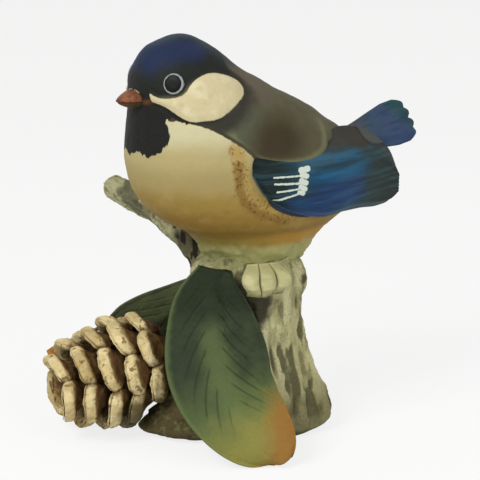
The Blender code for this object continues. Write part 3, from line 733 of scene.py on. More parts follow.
# Shoulder feathers, forward and height: crisp below and behind, and lost in the back above.
MANTLE = (
    (13.6, 35.0), (11.4, 32.0), (8.7, 29.4), (5.5, 27.9), (1.8, 27.1), (-2.6, 26.8), (-7.0, 26.9),
    (-11.6, 27.9), (-15.0, 30.2), (-16.4, 33.6), (-16.2, 37.0), (-14.0, 40.5), (-8, 44), (2, 46),
    (10, 43), (14, 39),
)
# Round-ended patches on both sides of the bird: start, end and radius.
BIRD_PATCHES = {
    "cap_blue": ((26.4, 3.5, 52.8), (18.5, 7.5, 55.4), 3.6),
    "cap_highlight": ((25.5, 0.0, 56.4), (18.0, 0.0, 59.0), 3.4),
    "cap_slate": ((13.0, 4.0, 56.5), (8.0, 7.0, 53.0), 4.0),
    "nape": ((8.5, 10.0, 51.0), (3.0, 13.0, 44.0), 4.6),
    "shoulder": ((9.0, 18.0, 38.0), (12.5, 18.0, 34.0), 5.0),
    "gape": ((30.2, 2.0, 43.0), (28.9, 6.0, 43.5), 0.8),
}
# The breast's gold edge along the wing, and the speckled ridge just in front of it.
GOLD_EDGE = (
    (12.0, 19.0, 31.8), (10.6, 19.5, 26.0), (9.6, 19.5, 21.5), (7.6, 19.4, 18.6), (3.0, 19.6, 16.4),
    (-3.0, 19.3, 14.0),
)
GOLD_RIDGE = (
    (11.8, 19.2, 28.0), (11.1, 19.1, 21.9), (9.8, 19.0, 19.0), (7.8, 18.9, 16.8), (4.5, 19.0, 15.0),
    (-2.0, 18.8, 12.8),
)
# Cheek on the far side, seen past the beak as a pale sliver.
FAR_CHEEK = ((-16, 44.6), (-20, 46.8), (-28, 47.6), (-36, 47.0), (-38, 44.6), (-30, 43.4), (-21, 43.4))


def on_skin(outline, bearing, height):
    """Signed distance to an outline given by bearing and height."""
    return inside([(a * DEGREE, h) for a, h in outline], bearing * DEGREE, height)


def on_left(points):
    """The bird's points, those on its right side carried over to its left."""
    return stack(points[..., 0], np.abs(points[..., 1]), points[..., 2])


def bird_paint_values(points, angle):
    """Signed distances to the bird's painted regions. Both sides are alike but for the far cheek."""
    here = on_left(points)
    forward, left, height = np.moveaxis(here, -1, 0)
    signed = np.degrees(apart(angle, 0.0))
    bearing = np.abs(signed)
    cap_bearings, cap_heights = np.array(CAP_EDGE).T
    above_cap = height - np.interp(bearing, cap_bearings, cap_heights)
    mantle = inside(MANTLE, forward, height)
    return {
        "cheek": np.maximum(on_skin(CHEEK, bearing, height), on_skin(FAR_CHEEK, signed, height)),
        "bib": on_skin(BIB, bearing, height),
        "breast": on_skin(BREAST, bearing, height),
        "collar": on_skin(COLLAR, bearing, height),
        "height": height,
        "forward": forward,
        "cap": np.minimum(above_cap, 0.8 * (forward - CAP_END)),
        **{key: capsule(*patch, here) for key, patch in BIRD_PATCHES.items()},
        "mantle_brown": 1 - np.hypot((forward - 0.6) / 9.6, (height - 33.4) / 6.8),
        "mantle_rim": np.minimum(np.minimum(1.5 - np.abs(mantle - 1.0), 0.4 * (38 - height)), left - 9.0),
        "below_mantle": np.minimum(np.minimum(-mantle, 31.5 - height), left - 9.0),
        "below_wing": np.minimum(19.0 - height, left - 9.0),
        "gold": path(GOLD_EDGE, 1.9, here),
        "ridge": path(GOLD_RIDGE, 0.9, here),
    }


def bird_relief(points, angle):
    """Feather shapes pressed into the skin: puffed cheeks, a groove round them, and faint tufts."""
    here = on_left(points)
    forward, left, height = np.moveaxis(here, -1, 0)
    cheek = on_skin(CHEEK, np.abs(np.degrees(apart(angle, 0.0))), height)
    relief = CHEEK_PUFF * fade(cheek, -0.4, 1.6)
    relief -= CHEEK_GROOVE * bump(cheek + 0.8, 0.7)
    relief += TUFT_RELIEF * grain(points, 6.0, 3, upright=0.5) * fade(50 - height, 0, 6)
    relief += 0.05 * grain(points, 1.6, 2, 7.0)
    # the shoulder feathers end in a soft lip over the wing
    mantle = inside(MANTLE, forward, height)
    lip = fade(38 - height, 0, 6) * fade(left, 9, 13) * fade(forward, -16.5, -8.0)
    relief += MANTLE_LIP * bump(mantle - 0.9, 1.1) * lip
    # a ridge of breast feathers in front of the wing
    relief += GOLD_RIDGE_RELIEF * bump(path(GOLD_RIDGE, 0.0, here), 1.0)
    # a full brow, a slight dip down the nape, and a lumpy foot where the body is luted on
    relief += BROW_RELIEF * fade(capsule((24.0, 0.0, 56.5), (20.0, 0.0, 58.0), 8.0, here), 0.0, 7.0)
    relief -= NAPE_DIP * fade(capsule((4.0, 0.0, 51.0), (-20.0, 0.0, 39.0), 11.0, here), 0.0, 8.0)
    relief += SEAT_LUMPS * grain(points, 4.4, 3, 3.0) * fade(8 - height, 0, 5)
    relief -= SEAT_LINE * bump(height - 8.4 - 0.05 * forward, 0.5)
    return relief


def make_bird_body():
    """Rings from the seat to the crown, set closer towards the top."""
    angles = np.linspace(-np.pi, np.pi, 420, endpoint=False)
    top = BIRD_STATIONS[-1][0] * BIRD_HEIGHT
    heights = mix(-SEAT_BEDDING, top, np.sin(np.pi / 2 * np.linspace(0, 1, 301)) ** 0.8)
    points = bird_point(*np.meshgrid(heights, angles, indexing="ij"))
    crown, shrink = closing_rings(points[-1], 16)
    crown[..., 2] += CROWN_RISE * (1 - shrink ** 2)
    points = np.concatenate([points, crown])
    angle = np.broadcast_to(angles, points.shape[:2])
    paint = bird_paint_values(points, angle)
    relief = bird_relief(points, angle) * fade(top - points[..., 2], -2.0, 3.0)
    skin("bird_body", in_world(raised(points, relief)), bird_finish(), paint)


def bird_finish():
    paint = Paint("bird_paint", "bird_paint", (80, 77, 57))
    paint.mottle((70, 64, 46), 9.0, 0.6, 0.42, 0.66)
    paint.mottle((90, 90, 69), 6.0, 0.35, 0.5, 0.72)
    paint.wash("nape", (88, 80, 68), -2.0, 3.0, 0.8, 0.8, 3.0)
    paint.wash("shoulder", (76, 80, 64), -3.0, 3.0, 0.8, 0.8, 4.0)
    paint.wash("mantle_brown", (50, 41, 25), -0.3, 0.7, 0.95, 0.12, 3.0)
    paint.wash("mantle_rim", (108, 108, 76), 0.0, 1.3, 0.6, 0.4, 1.5)
    paint.wash("below_mantle", (32, 50, 56), -0.3, 0.5, 1.0, 0.2, 1.5)
    paint.wash("below_wing", (34, 62, 104), 0.0, 3.0, 1.0)
    paint.wash("collar", (42, 40, 34), -1.6, 1.0, 0.95, 0.6, 2.0)
    paint.wash("breast", (46, 42, 32), -1.1, -0.5, 0.8, 0.3, 1.5)
    # cap: near black round the eye, a blue patch on its side, a painted highlight on its front top and slate
    # behind
    paint.wash("cap", (25, 28, 25), -0.5, 1.2, 1.0, 0.4, 1.5)
    paint.wash("cap_slate", (36, 47, 52), -2.5, 2.5, 0.85, 0.8, 4.0)
    # a painted highlight on the front of the crown
    paint.wash("cap_highlight", (36, 54, 70), -3.0, 2.5, 0.75, 0.8, 4.0)
    paint.wash("cap_blue", (26, 38, 66), -2.4, 2.0, 0.95, 0.6, 3.0)
    paint.wash("breast", paint.layer((186, 180, 144), under_parts), -0.15, 0.2, 1.0, 0.25, 0.9)
    paint.wash("bib", (24, 24, 22), -0.15, 0.15, 1.0, 1.3, 0.9, (1.0, 1.0, 0.2))
    paint.wash("cheek", paint.layer((188, 177, 140), cheek_clouds), -0.12, 0.14, 1.0, 0.15, 0.8)
    paint.wash("gape", (86, 52, 30), -0.3, 0.4, 0.9, 0.4, 1.0)
    paint.speckle((104, 84, 56), 0.35, 0.33, 0.14)
    paint.relief(0.9, 0.07)
    paint.relief(0.3, 0.03, 2.0)
    return paint.done()


def cheek_clouds(paint):
    paint.mottle((178, 160, 118), 2.6, 0.5, 0.52, 0.72)
    paint.mottle((208, 200, 166), 3.4, 0.5, 0.5, 0.7)


def under_parts(paint):
    """Cream on the breast, gold below, and a skirt that turns into the mound."""
    paint.wash("height", (164, 151, 106), 36.0, 30.0, 1.0, 1.5, 8.0)
    paint.wash("height", (150, 135, 88), 30.0, 24.0, 1.0, 1.5, 8.0)
    paint.wash("height", (142, 118, 58), 24.0, 18.0, 1.0, 1.5, 6.0)
    paint.wash("height", (128, 101, 43), 18.0, 12.0, 0.9, 1.5, 5.0)
    paint.mottle((166, 144, 96), 7.0, 0.25, 0.50, 0.70)
    paint.flecks("height", (114, 90, 40), 3.2, 21.0, 13.0, 0.30)
    paint.wash("gold", (158, 132, 72), -0.8, 1.2, 0.8, 0.9, 1.5)
    paint.wash("ridge", (120, 92, 42), -0.9, 0.6, 0.8, 0.8, 1.0)
    # painted shade along the crease where the belly meets the skirt
    paint.wash("height", (108, 86, 36), 11.0, 8.9, 0.6, 1.2, 3.0)
    paint.wash("height", (126, 112, 54), 8.2, 6.4, 1.0, 0.8, 3.0)
    behind = paint.ramp(paint.value("forward"), 9.0, -7.0)
    low = paint.ramp(paint.value("height"), 10.0, 6.6, 0.85)
    paint.over((156, 116, 44), paint.maths("MULTIPLY", behind, low))
    paint.wash("height", (146, 144, 94), 6.2, 3.2, 1.0, 1.6, 3.0)
    paint.flecks("gold", (104, 74, 30), 0.8, -1.2, 1.2, 0.75)
    paint.flecks("ridge", (92, 64, 26), 0.9, -1.4, 0.2, 0.9)


def wing_inner(forward, height):
    """The wing's inner side: on the flank in front, on its own past the place where it leaves it."""
    leave = -WING_LEAVES * RUMP_REACH
    share = np.clip((leave - forward) / (WING_TIP_REACH + leave), 0, 1)
    on_flank = flank(forward, height)
    free = np.maximum(on_flank, mix(flank(leave, height), WING_TIP_SPREAD, share))
    return np.where(forward > leave, on_flank, free)


# White brush strokes on the wing: start and end along the wing and up it, and half the stroke's width.
WING_BARS = (
    ((3.9, 25.0), (-3.6, 24.7), 0.22),
    ((3.6, 23.3), (-3.4, 22.8), 0.26),
    ((2.9, 21.2), (-3.2, 21.4), 0.23),
    ((2.9, 19.0), (-3.0, 20.1), 0.25),
    ((-3.9, 26.1), (-6.2, 26.2), 0.72),
    ((-4.2, 24.9), (-5.8, 24.4), 0.68),
    ((-4.0, 23.4), (-5.5, 22.7), 0.74),
    ((-3.8, 21.9), (-5.2, 21.2), 0.68),
    ((-3.4, 20.6), (-4.7, 20.1), 0.58),
)
# Soft patches on the wing: start and end, half width, how far it fades, strength and colour.
WING_PATCHES = (
    ((-6, 27.4), (-24, 28.0), 1.6, 2.4, 0.75, (48, 84, 104)),
    ((-12, 18.0), (-24, 19.0), 3.6, 3.0, 0.90, (28, 54, 94)),
    ((-1, 17.0), (-12, 14.0), 2.6, 3.0, 0.75, (26, 54, 94)),
    ((-6, 23.6), (-30, 23.6), 1.1, 1.8, 0.90, (26, 82, 118)),
    ((-17, 26.8), (-30, 27.0), 0.7, 1.2, 0.70, (36, 86, 116)),
    ((-9, 25.6), (-24, 25.3), 0.5, 1.2, 0.60, (28, 50, 58)),
    ((-8, 21.4), (-28, 21.2), 0.3, 0.9, 0.50, (24, 46, 78)),
    ((-6, 13.6), (-10, 12.0), 1.4, 2.0, 0.70, (32, 70, 116)),
)
# Brown feathers over the middle of the wing and grey ones over its tip, forward and height.
DOME = ((-13, 30), (-17, 29.4), (-22, 29.2), (-27, 28.4), (-30, 28.0), (-31, 34), (-12, 34))
COVERTS = ((-29.0, 36), (-29.3, 32), (-30.5, 29.6), (-33.5, 28.4), (-38, 27.8), (-43, 27.6), (-44, 36))


def make_wing(node, side):
    """One blade along the flank, past it at the tip; side is 1 on the left and -1 on the right."""
    u, v = grid(260, 90)
    spread = 0.5 - 0.5 * np.cos(np.pi * u)
    low, high = column(WING_STATIONS, spread, 1), column(WING_STATIONS, spread, 2)
    forward = WING_BEND_REACH - (WING_BEND_REACH + WING_TIP_REACH) * spread
    height = BIRD_HEIGHT * (low + (high - low) * v)
    inner = wing_inner(forward, height)
    free = fade(-forward, WING_LEAVES * RUMP_REACH - 4, WING_LEAVES * RUMP_REACH + 4)
    # the upper edge melts into the flank until the wing leaves it, the lower edge stands proud
    bend, tip, lower, upper = 7 * u, 14 * (1 - u), 9 * v, (5 - free) * (1 - v)
    edge = smoothstep(np.minimum(np.minimum(bend, tip), np.minimum(lower, upper)))
    at_edge = np.where(v > 0.5, WING_UPPER_EDGE * free, WING_LOWER_EDGE)
    proud = mix(at_edge, WING_THICKNESS, edge)
    feathers = np.abs(np.sin(np.pi * WING_FEATHERS * v)) ** 0.5
    grooves = WING_GROOVE * (1 - feathers) * fade(spread, 0.30, 0.5) * edge
    streaks = grain(stack(forward * 0.08, 0 * v, height), 1.1, 3, 4.0)
    lumps = 0.10 * grain(stack(forward * 0.3, 0 * v, height), 2.5, 2, 9.0)
    face = stack(forward, side * (inner + proud - grooves + 0.06 * streaks + lumps * edge), height)
    back = stack(forward, side * (inner + mix(-WING_ROOT_SINK, WING_TIP_LIFT, free)), height)
    bars = np.max([stroke(*bar, forward, height) for bar in WING_BARS], axis=0)
    coverts = inside(COVERTS, forward, height)
    paint = {
        "bars": bars,
        "forward": forward,
        "up": v,
        "streak": streaks,
        **{"patch_%d" % k: stroke(*patch[:3], forward, height) for k, patch in enumerate(WING_PATCHES)},
        "coverts": coverts,
        "covert_line": 0.6 - np.abs(coverts + 0.3),
        "dome": inside(DOME, forward, height),
    }
    blade_skin(node, in_world(face), in_world(back), wing_finish(), paint)


def wing_finish():
    """Made once, for both wings."""
    if "wing_paint" in bpy.data.materials:
        return bpy.data.materials["wing_paint"]
    paint = Paint("wing_paint", "blue_feather", (27, 56, 68))
    for k, patch in enumerate(WING_PATCHES):
        soft, strength, colour = patch[3:]
        paint.wash("patch_%d" % k, colour, -soft, soft / 2, strength, 0.35 * soft, 3.0)
    paint.wash("forward", (20, 31, 27), -4.0, 3.0, 0.95, 1.0, 2.0)
    paint.wash("forward", (40, 52, 46), -22.0, -34.0, 0.9, 2.0, 2.0)
    paint.wash("forward", (36, 42, 36), -34.0, -42.0, 0.9, 1.0, 2.0)
    paint.wash("streak", (52, 92, 112), 0.05, 0.45, 0.24)
    paint.wash("streak", (20, 28, 30), -0.05, -0.40, 0.36)
    paint.wash("dome", (50, 47, 38), -1.6, 1.2, 0.95, 0.5, 2.0)
    paint.wash("coverts", (70, 72, 70), -0.4, 0.6, 0.9, 0.3, 2.0)
    paint.wash("covert_line", (30, 32, 32), 0.0, 0.5, 0.7, 0.2, 1.0)
    paint.wash("up", (70, 104, 124), 0.022, 0.0, 0.5, 0.004, 2.0)
    paint.wash("bars", (194, 202, 190), -0.11, 0.11, 1.0, 0.20, 0.7)
    paint.relief(0.7, 0.05)
    paint.relief(1.6, 0.06, 3.0)
    return paint.done()


def make_tail():
    """A fan of feathers in one piece, upright but for its roll."""
    share = np.linspace(0, 1, 120)[:, None]
    angle = round_angles(120)
    wide = np.sign(np.cos(angle)) * np.abs(np.cos(angle)) ** 0.8
    distance = share * TAIL_REACH
    width = TAIL_ROOT_WIDTH + (TAIL_TIP_WIDTH - TAIL_ROOT_WIDTH) * smoothstep(share * 1.25)
    thickness = TAIL_THICKNESS * (1 - 0.35 * share)
    root = np.array((bird_section(TAIL_HEIGHT)[1] + PLUG_DEPTH, 0.0, TAIL_HEIGHT))
    ahead = np.array((-math.cos(TAIL_RISE), 0.0, math.sin(TAIL_RISE)))
    upright = np.array((math.sin(TAIL_RISE), 0.0, math.cos(TAIL_RISE)))
    across = upright * math.cos(TAIL_ROLL) + np.array((0, -math.sin(TAIL_ROLL), 0))
    side = np.cross(ahead, across)
    feather = np.abs(np.sin((wide + 1) * np.pi * TAIL_FEATHERS / 2))
    shorter = (TAIL_NOTCH * (1 - feather) + TAIL_END_ROUND * wide ** 4) * fade(share, 0.55, 1.0)
    groove = TAIL_GROOVE * (1 - feather ** 0.4) * fade(share, 0.25, 0.6)
    thick = thickness / 2 * (1 - 0.45 * fade(share, 0.9, 1.0)) - groove
    points = root + ahead * (distance - shorter)[..., None] + across * (wide * width / 2)[..., None]
    points = points + side * (np.sin(angle) * thick)[..., None]
    paint = {
        "reach": distance,
        "across": wide,
        "teal": (distance - 18) / 4 + 0.9 * wide,
        "streak": grain(stack(share * 0.9, wide * 1.6, np.sign(np.sin(angle))), 0.28, 3),
    }
    skin("tail", in_world(points), tail_finish(), paint)


def tail_finish():
    finish = Paint("tail_paint", "blue_feather", (52, 68, 84))
    finish.wash("reach", (48, 64, 90), 8.0, 15.0, 0.8, 1.5, 3.0)
    finish.wash("across", (40, 56, 88), 0.0, -0.8, 0.75, 0.3, 2.0)
    finish.wash("teal", (30, 64, 66), 0.0, 1.0, 0.9, 0.3, 3.0)
    finish.wash("reach", (72, 69, 71), 10.0, 5.0, 0.75, 1.0, 2.5)
    finish.wash("streak", (70, 86, 96), 0.1, 0.45, 0.18)
    finish.wash("streak", (26, 36, 52), -0.1, -0.4, 0.28)
    finish.relief(0.7, 0.05)
    return finish.done()


def upper_beak_finish():
    horn = Paint("beak_upper_paint", "beak_paint", (104, 62, 40), 0.45)
    horn.wash("reach", (132, 84, 56), 0.45, 0.8, 0.8, 0.15, 1.5)
    horn.wash("reach", (66, 42, 28), 0.84, 1.0, 0.9, 0.05, 1.0)
    horn.mottle((70, 38, 22), 1.2, 0.6, 0.5, 0.7)
    horn.mottle((166, 116, 82), 0.9, 0.30, 0.6, 0.75)
    horn.relief(0.6, 0.06)
    return horn.done()


def lower_beak_finish():
    dark = Paint("beak_lower_paint", "beak_paint", (58, 44, 28), 0.5)
    dark.mottle((36, 38, 26), 1.4, 0.8, 0.4, 0.65)
    dark.wash("reach", (96, 56, 32), 0.5, 0.9, 0.7, 0.1, 1.5)
    dark.relief(0.6, 0.06)
    return dark.done()


def make_beak():
    """Two halves on one seam, the lower one shorter and thinner."""
    root = bird_section(BEAK_HEIGHT)[0] - PLUG_DEPTH
    tip = root + PLUG_DEPTH + BEAK_LENGTH - BEAK_TIP_ROUND
    share = np.linspace(0, 1, 60)[:, None]
    size = np.interp(share, *np.array(BEAK_STATIONS).T)
    angle = np.linspace(0, np.pi, 48)
    # each half: its side of the seam, its shares of the depth and of the length, and its finish
    for node, half, depth_share, reach_share, finish in (
        ("upper_beak", 1, 0.98, 1.0, upper_beak_finish()),
        ("lower_beak", -1, 0.72, 0.93, lower_beak_finish()),
    ):
        reach = root + (tip - root) * share * reach_share
        left = np.cos(angle) * BEAK_WIDTH * size / 2
        ridge = np.sin(angle) ** 0.85
        up = half * (ridge * BEAK_DEPTH * size * depth_share / 2 + BEAK_SLIT) - BEAK_DROOP * share
        points = stack(reach, left, BEAK_HEIGHT + up)
        points = raised(points, 0.05 * grain(points, 1.5, 2))
        skin(node, in_world(points), finish, {"reach": share})


def eye_finish():
    """Black with a pale painted ring."""
    finish = Paint("eye_paint", "eye_black", (9, 9, 10), 0.45)
    finish.mottle((26, 28, 30), 1.2, 0.5, 0.5, 0.7)
    finish.wash("ring", (138, 148, 146), -0.06, 0.06, 1.0, 0.16, 0.8)
    finish.relief(0.8, 0.03)
    return finish.done()


def make_eyes():
    """Low domes turned up and out from the middle of the head."""
    finish = eye_finish()
    rise = np.linspace(0, 1, 40)
    front, back = bird_section(EYE_HEIGHT)[:2]
    middle = np.array(((front + back) / 2, 0.0, EYE_HEIGHT - EYE_UPTURN))
    angles = round_angles(64)
    for node, side in (("left_eye", 1), ("right_eye", -1)):
        seat = bird_point(EYE_HEIGHT, EYE_BEARING * side)
        away = unit(seat - middle)
        bulge = np.sin(np.pi / 2 * rise)
        radii = EYE_RADIUS * np.cos(np.pi / 2 * rise) ** 0.55
        radii[-1] = 0.05
        base = np.linspace(-EYE_SEAT, -EYE_SINK, 6)[:-1]
        levels = np.concatenate([base, EYE_BULGE * 1.05 * bulge - EYE_SINK])
        radii = np.concatenate([np.full(5, EYE_RADIUS), radii])
        side_way = unit(np.cross(away, np.array((0.0, 0.0, 1.0))))
        up_way = np.cross(side_way, away)
        spokes = side_way * np.cos(angles)[:, None] + up_way * np.sin(angles)[:, None]
        rings = (seat + away * levels[:, None])[:, None] + spokes * radii[:, None, None]
        ring = EYE_RING_HALF_WIDTH - np.abs(radii[:, None] - (EYE_RADIUS - EYE_RING_INSET))
        skin(node, in_world(rings), finish, {"ring": ring})


# ---------------------------------------------------------------- stump, feet and branch


def stump_radius(share, angle):
    """Radius of the bark at a share of the height: trunk, root lobes and bark ridges."""
    radius, roots = column(STUMP_STATIONS, share, 1), column(STUMP_STATIONS, share, 2)
    lobes = np.cos(5 * angle + 0.9) + 0.45 * np.cos(3 * angle - 1.1)
    ridges = np.cos(11 * angle + 2.5 * share) * (0.25 + smoothstep(share * 4) * smoothstep((1 - share) * 6))
    spur = bump(apart(angle, SPUR_BEARING), ROOT_SPUR_SPREAD)
    spur = spur * smoothstep(1 - share * STUMP_HEIGHT / ROOT_SPUR_HEIGHT)
    return TRUNK_RADIUS * radius + ROOT_LOBE * roots * lobes + ROOT_SPUR * spur + BARK_DEPTH * ridges


def trunk_point(share, angle, extra=0.0):
    """The bark at a share of the height and an angle, or a place further off it."""
    radius = stump_radius(share, angle) + extra
    x, y = radius * np.cos(angle), radius * TRUNK_DEPTH_RATIO * np.sin(angle)
    return TRUNK_CENTRE + stack(x, y, share * STUMP_HEIGHT)


def clear_of_bark(points, distance):
    """The points, pushed straight out of the trunk where the bark is nearer than the distance."""
    away = points - TRUNK_CENTRE
    share = np.clip(away[..., 2] / STUMP_HEIGHT, 0, 1)
    x, y = away[..., 0], away[..., 1] / TRUNK_DEPTH_RATIO
    reach = np.hypot(x, y)
    least = stump_radius(share, np.arctan2(y, x)) + distance
    grow = np.maximum(least / reach, 1.0)
    return TRUNK_CENTRE + stack(x * grow, y * grow * TRUNK_DEPTH_RATIO, away[..., 2])


# Painted shade under the toes, beside the front leaf.
TOE_SHADE = ((1.0, -14.5, 43.5), (3.5, -14.0, 38.0), (10.0, -12.5, 37.2), (5.0, -14.0, 34.6))


def make_stump():
    """The trunk's bark from the ground up, closed by a low lumpy mound that runs in under the bird."""
    share, angle = np.meshgrid(np.linspace(0, 1, 230), round_angles(420), indexing="ij")
    points = trunk_point(share, angle)
    away = unit(stack(np.cos(angle), np.sin(angle), 0 * angle))
    up = share * STUMP_HEIGHT
    # bark: soft upright grooves, a few cracks, and rough lumps low down on the spur under the cone
    trunk = fade(share, 0.04, 0.16) * fade(1 - share, 0.10, 0.25)
    grooves = grain(points, 4.6, 3, upright=0.20)
    cracks = fade(grain(points, 3.6, 3, 5.0, 0.16), 0.22, 0.48)
    lumps = grain(points, 4.6, 4, 2.0)
    spur = fade(1.1 - np.abs(apart(angle, SPUR_BEARING)), 0.0, 0.5) * fade(16 - up, 0, 5)
    seam = capsule((9.0, -14.0, 43.0), (8.5, -12.0, 20.0), 0.0, points)
    crease = bump(seam, 1.1)
    relief = (BARK_GROOVE * grooves - BARK_CRACK * cracks) * trunk + BARK_LUMPS * lumps
    relief += (SPUR_LUMPS * lumps + SPUR_SWELL) * spur
    relief += 0.10 * grain(points, 0.9, 2, 8.0) - BARK_CREASE * crease
    relief *= fade(up, 0.0, 1.2)
    points = points + away * relief[..., None]
    # the mound
    cap, shrink = closing_rings(points[-1], 50)
    cap_lumps = 0.5 * grain(cap, 5.0, 3, 4.0)
    cap[..., 2] += mix(np.minimum(cap_lumps, 0), RIM_SWELL + RIM_LUMPS * cap_lumps, fade(shrink, 0.70, 0.90))
    points[-1, :, 2] += 0.5 + 1.8 * cap_lumps[0]
    points = np.concatenate([points, cap])

    def with_top(on_bark, on_top=0 * cap_lumps):
        return np.concatenate([on_bark, on_top])

    paint = {
        "hollow": with_top(relief + 0.2 * grooves, cap_lumps),
        "crack": with_top(cracks * trunk),
        "spur": with_top(spur),
        "crease": with_top(crease),
        "up": points[..., 2],
        "toe_shade": path(TOE_SHADE, 2.8, points),
        "knob": capsule((17.0, -3.5, 42.0), (16.2, -2.0, 43.2), 1.2, points),
    }
    skin("stump", points, bark_finish(), paint)


def bark_finish():
    finish = Paint("bark_paint", "bark", (170, 166, 122), 0.78)
    finish.mottle((184, 180, 140), 6.0, 0.8, 0.45, 0.60, (1.0, 1.0, 0.5))
    finish.mottle((120, 117, 80), 4.0, 0.70, 0.50, 0.68, (1.0, 1.0, 0.35))
    finish.wash("up", (102, 97, 65), 20.0, 7.0, 0.8, 6.0, 6.0)
    # painted shade in the bark's hollows and between the lumps of the mound
    finish.wash("hollow", (92, 88, 58), -0.05, -0.55, 0.7, 0.12, 1.5)
    # painted shade in the bark's cracks
    finish.wash("crack", (70, 68, 46), 0.35, 0.95, 0.7, 0.3, 1.5)
    # painted shade down the crease below the toes
    finish.wash("crease", (62, 60, 40), 0.3, 0.9, 0.8, 0.3, 1.5)
    finish.wash("toe_shade", (34, 33, 24), -1.6, 1.0, 0.95, 1.2, 2.4)
    finish.wash("up", (128, 128, 82), 45.5, 47.5, 0.5, 1.0, 3.0)
    finish.flecks("up", (78, 75, 48), 3.4, 43.5, 46.0, 0.75)
    finish.wash("knob", (60, 56, 38), -0.6, 0.6, 0.9, 0.5, 1.2)
    finish.mottle((64, 61, 42), 3.0, 0.55, 0.62, 0.73, (1.0, 1.0, 0.22))
    finish.wash("spur", (74, 64, 38), 0.2, 0.9, 0.9, 0.35, 1.8)
    finish.flecks("spur", (104, 104, 68), 2.4, 0.3, 0.9, 0.8)
    # painted shade along the foot, where it meets the floor
    finish.wash("up", (50, 47, 32), 2.2, 0.4, 0.85, 0.8, 2.0)
    finish.speckle((50, 46, 30), 0.5, 0.36, 0.45)
    finish.relief(1.2, 0.30)
    finish.relief(0.4, 0.10, 3.0)
    return finish.done()


def make_foot(node, side):
    """Toes pressed over the rim of the stump's top."""
    bearing = BIRD_HEADING + side * np.pi / 2 - FOOT_STAGGER
    u, v = grid(60, 90)
    narrow = 1 - FOOT_TAPER * (1 - np.sin(np.pi * np.minimum(u * 1.2, 1.0)))
    angle = bearing + (2 * v - 1) * FOOT_HALF_ANGLE * TOE_SPREAD * narrow
    share = RIM_SHARE + TOE_RISE_SHARE - u * TOE_DROP / STUMP_HEIGHT
    toe = np.abs(np.sin(np.pi * TOES * v)) ** 0.5
    body = smoothstep(3 * np.minimum(u + 0.05, 1.0 - u))
    thickness = 0.3 + (TOE_THICKNESS + TOE_SWELL) * body * (0.25 + 0.75 * toe)
    base = trunk_point(share, angle)
    thickness = thickness + (0.15 * grain(base, 1.8, 2) + 0.7 * grain(base, 4.5, 2, 3.0)) * body
    face = trunk_point(share, angle, thickness)
    back = trunk_point(share, angle, -0.5)
    blade_skin(node, face, back, toe_finish(), {"slit": toe, "end": u})


def toe_finish():
    finish = Paint("toe_paint", "toe_paint", (168, 164, 118), 0.7)
    finish.mottle((186, 181, 138), 3.0, 0.7, 0.45, 0.65)
    # painted shade in the grooves between the toes
    finish.wash("slit", (60, 56, 36), 0.50, 0.24, 0.75, 0.12, 1.0)
    finish.wash("end", (96, 90, 60), 0.85, 1.0, 0.6, 0.1, 1.2)
    finish.mottle((94, 88, 56), 1.4, 0.4, 0.62, 0.72)
    finish.relief(0.8, 0.12)
    return finish.done()


def make_branch():
    """Rises from the stump behind the bird to a rounded, broken end."""
    share = 1 - BRANCH_ROOT_DROP / STUMP_HEIGHT
    away = np.array((math.cos(BRANCH_BEARING), math.sin(BRANCH_BEARING), 0.0))
    root = trunk_point(share, BRANCH_BEARING, -PLUG_DEPTH)
    t = np.linspace(0, 1, 150)[:, None]
    spine = root + away * (BRANCH_REACH * t) + np.array((0, 0, BRANCH_RISE)) * t ** BRANCH_LEVELLING
    radii = BRANCH_ROOT_RADIUS + (BRANCH_TIP_RADIUS - BRANCH_ROOT_RADIUS) * smoothstep(t[:, 0] * 1.6)
    turn = np.radians(np.linspace(8, 88, 11))[:, None]
    ahead = unit(spine[-1] - spine[-2])
    spine = np.concatenate([spine, spine[-1] + ahead * BRANCH_TIP_RADIUS * np.sin(turn)])
    radii = np.concatenate([radii, BRANCH_TIP_RADIUS * np.cos(turn[:, 0])])
    sides = 90
    rings = tube(spine, radii, sides)
    along = np.linspace(0, 1, len(spine))[:, None] * BRANCH_REACH + np.zeros(sides)
    round_it = round_angles(sides) + 0 * along
    grooves = grain(stack(along * 0.25, 3.2 * np.cos(round_it), 3.2 * np.sin(round_it)), 2.0, 3)
    relief = BRANCH_GROOVE * grooves + BRANCH_LUMPS * grain(rings, 4.0, 3, 6.0) + 0.08 * grain(rings, 0.9, 2)
    rings = raised(rings, relief)
    paint = {
        "hollow": relief,
        "along": along,
        "scar": capsule((-33.0, 14.6, 61.8), (-31.8, 14.8, 63.0), 1.8, rings),
        "streaks": grain(rings, 1.6, 2, 11.0, 0.25) * fade(-rings[..., 0], 21.0, 14.0),
    }
    skin("branch", rings, branch_finish(), paint)


def branch_finish():
    finish = Paint("branch_paint", "bark", (166, 164, 125), 0.78)
    finish.mottle((176, 174, 136), 4.0, 0.75, 0.45, 0.65)
    # painted shade in the branch's grooves
    finish.wash("hollow", (104, 98, 70), -0.02, -0.35, 0.8, 0.1, 1.2)
    finish.mottle((62, 60, 44), 2.6, 0.6, 0.60, 0.68)
    finish.mottle((66, 66, 50), 6.0, 0.75, 0.50, 0.60)
    finish.wash("scar", (80, 80, 62), -0.8, 0.8, 0.95, 0.5, 1.6)
    finish.wash("along", (92, 86, 62), 10.0, 4.0, 0.7, 2.0, 2.5)
    finish.wash("streaks", (34, 32, 26), -0.06, 0.22, 0.95)
    finish.speckle((50, 46, 30), 0.5, 0.36, 0.5)
    finish.relief(1.0, 0.25)
    finish.relief(0.4, 0.08, 3.0)
    return finish.done()


# ---------------------------------------------------------------- leaves

LEAF_ROWS, LEAF_COLUMNS = 220, 130
VEINS = 11
VEIN_SWEEP = 4.2
VEIN_HALF_WIDTH = 0.17


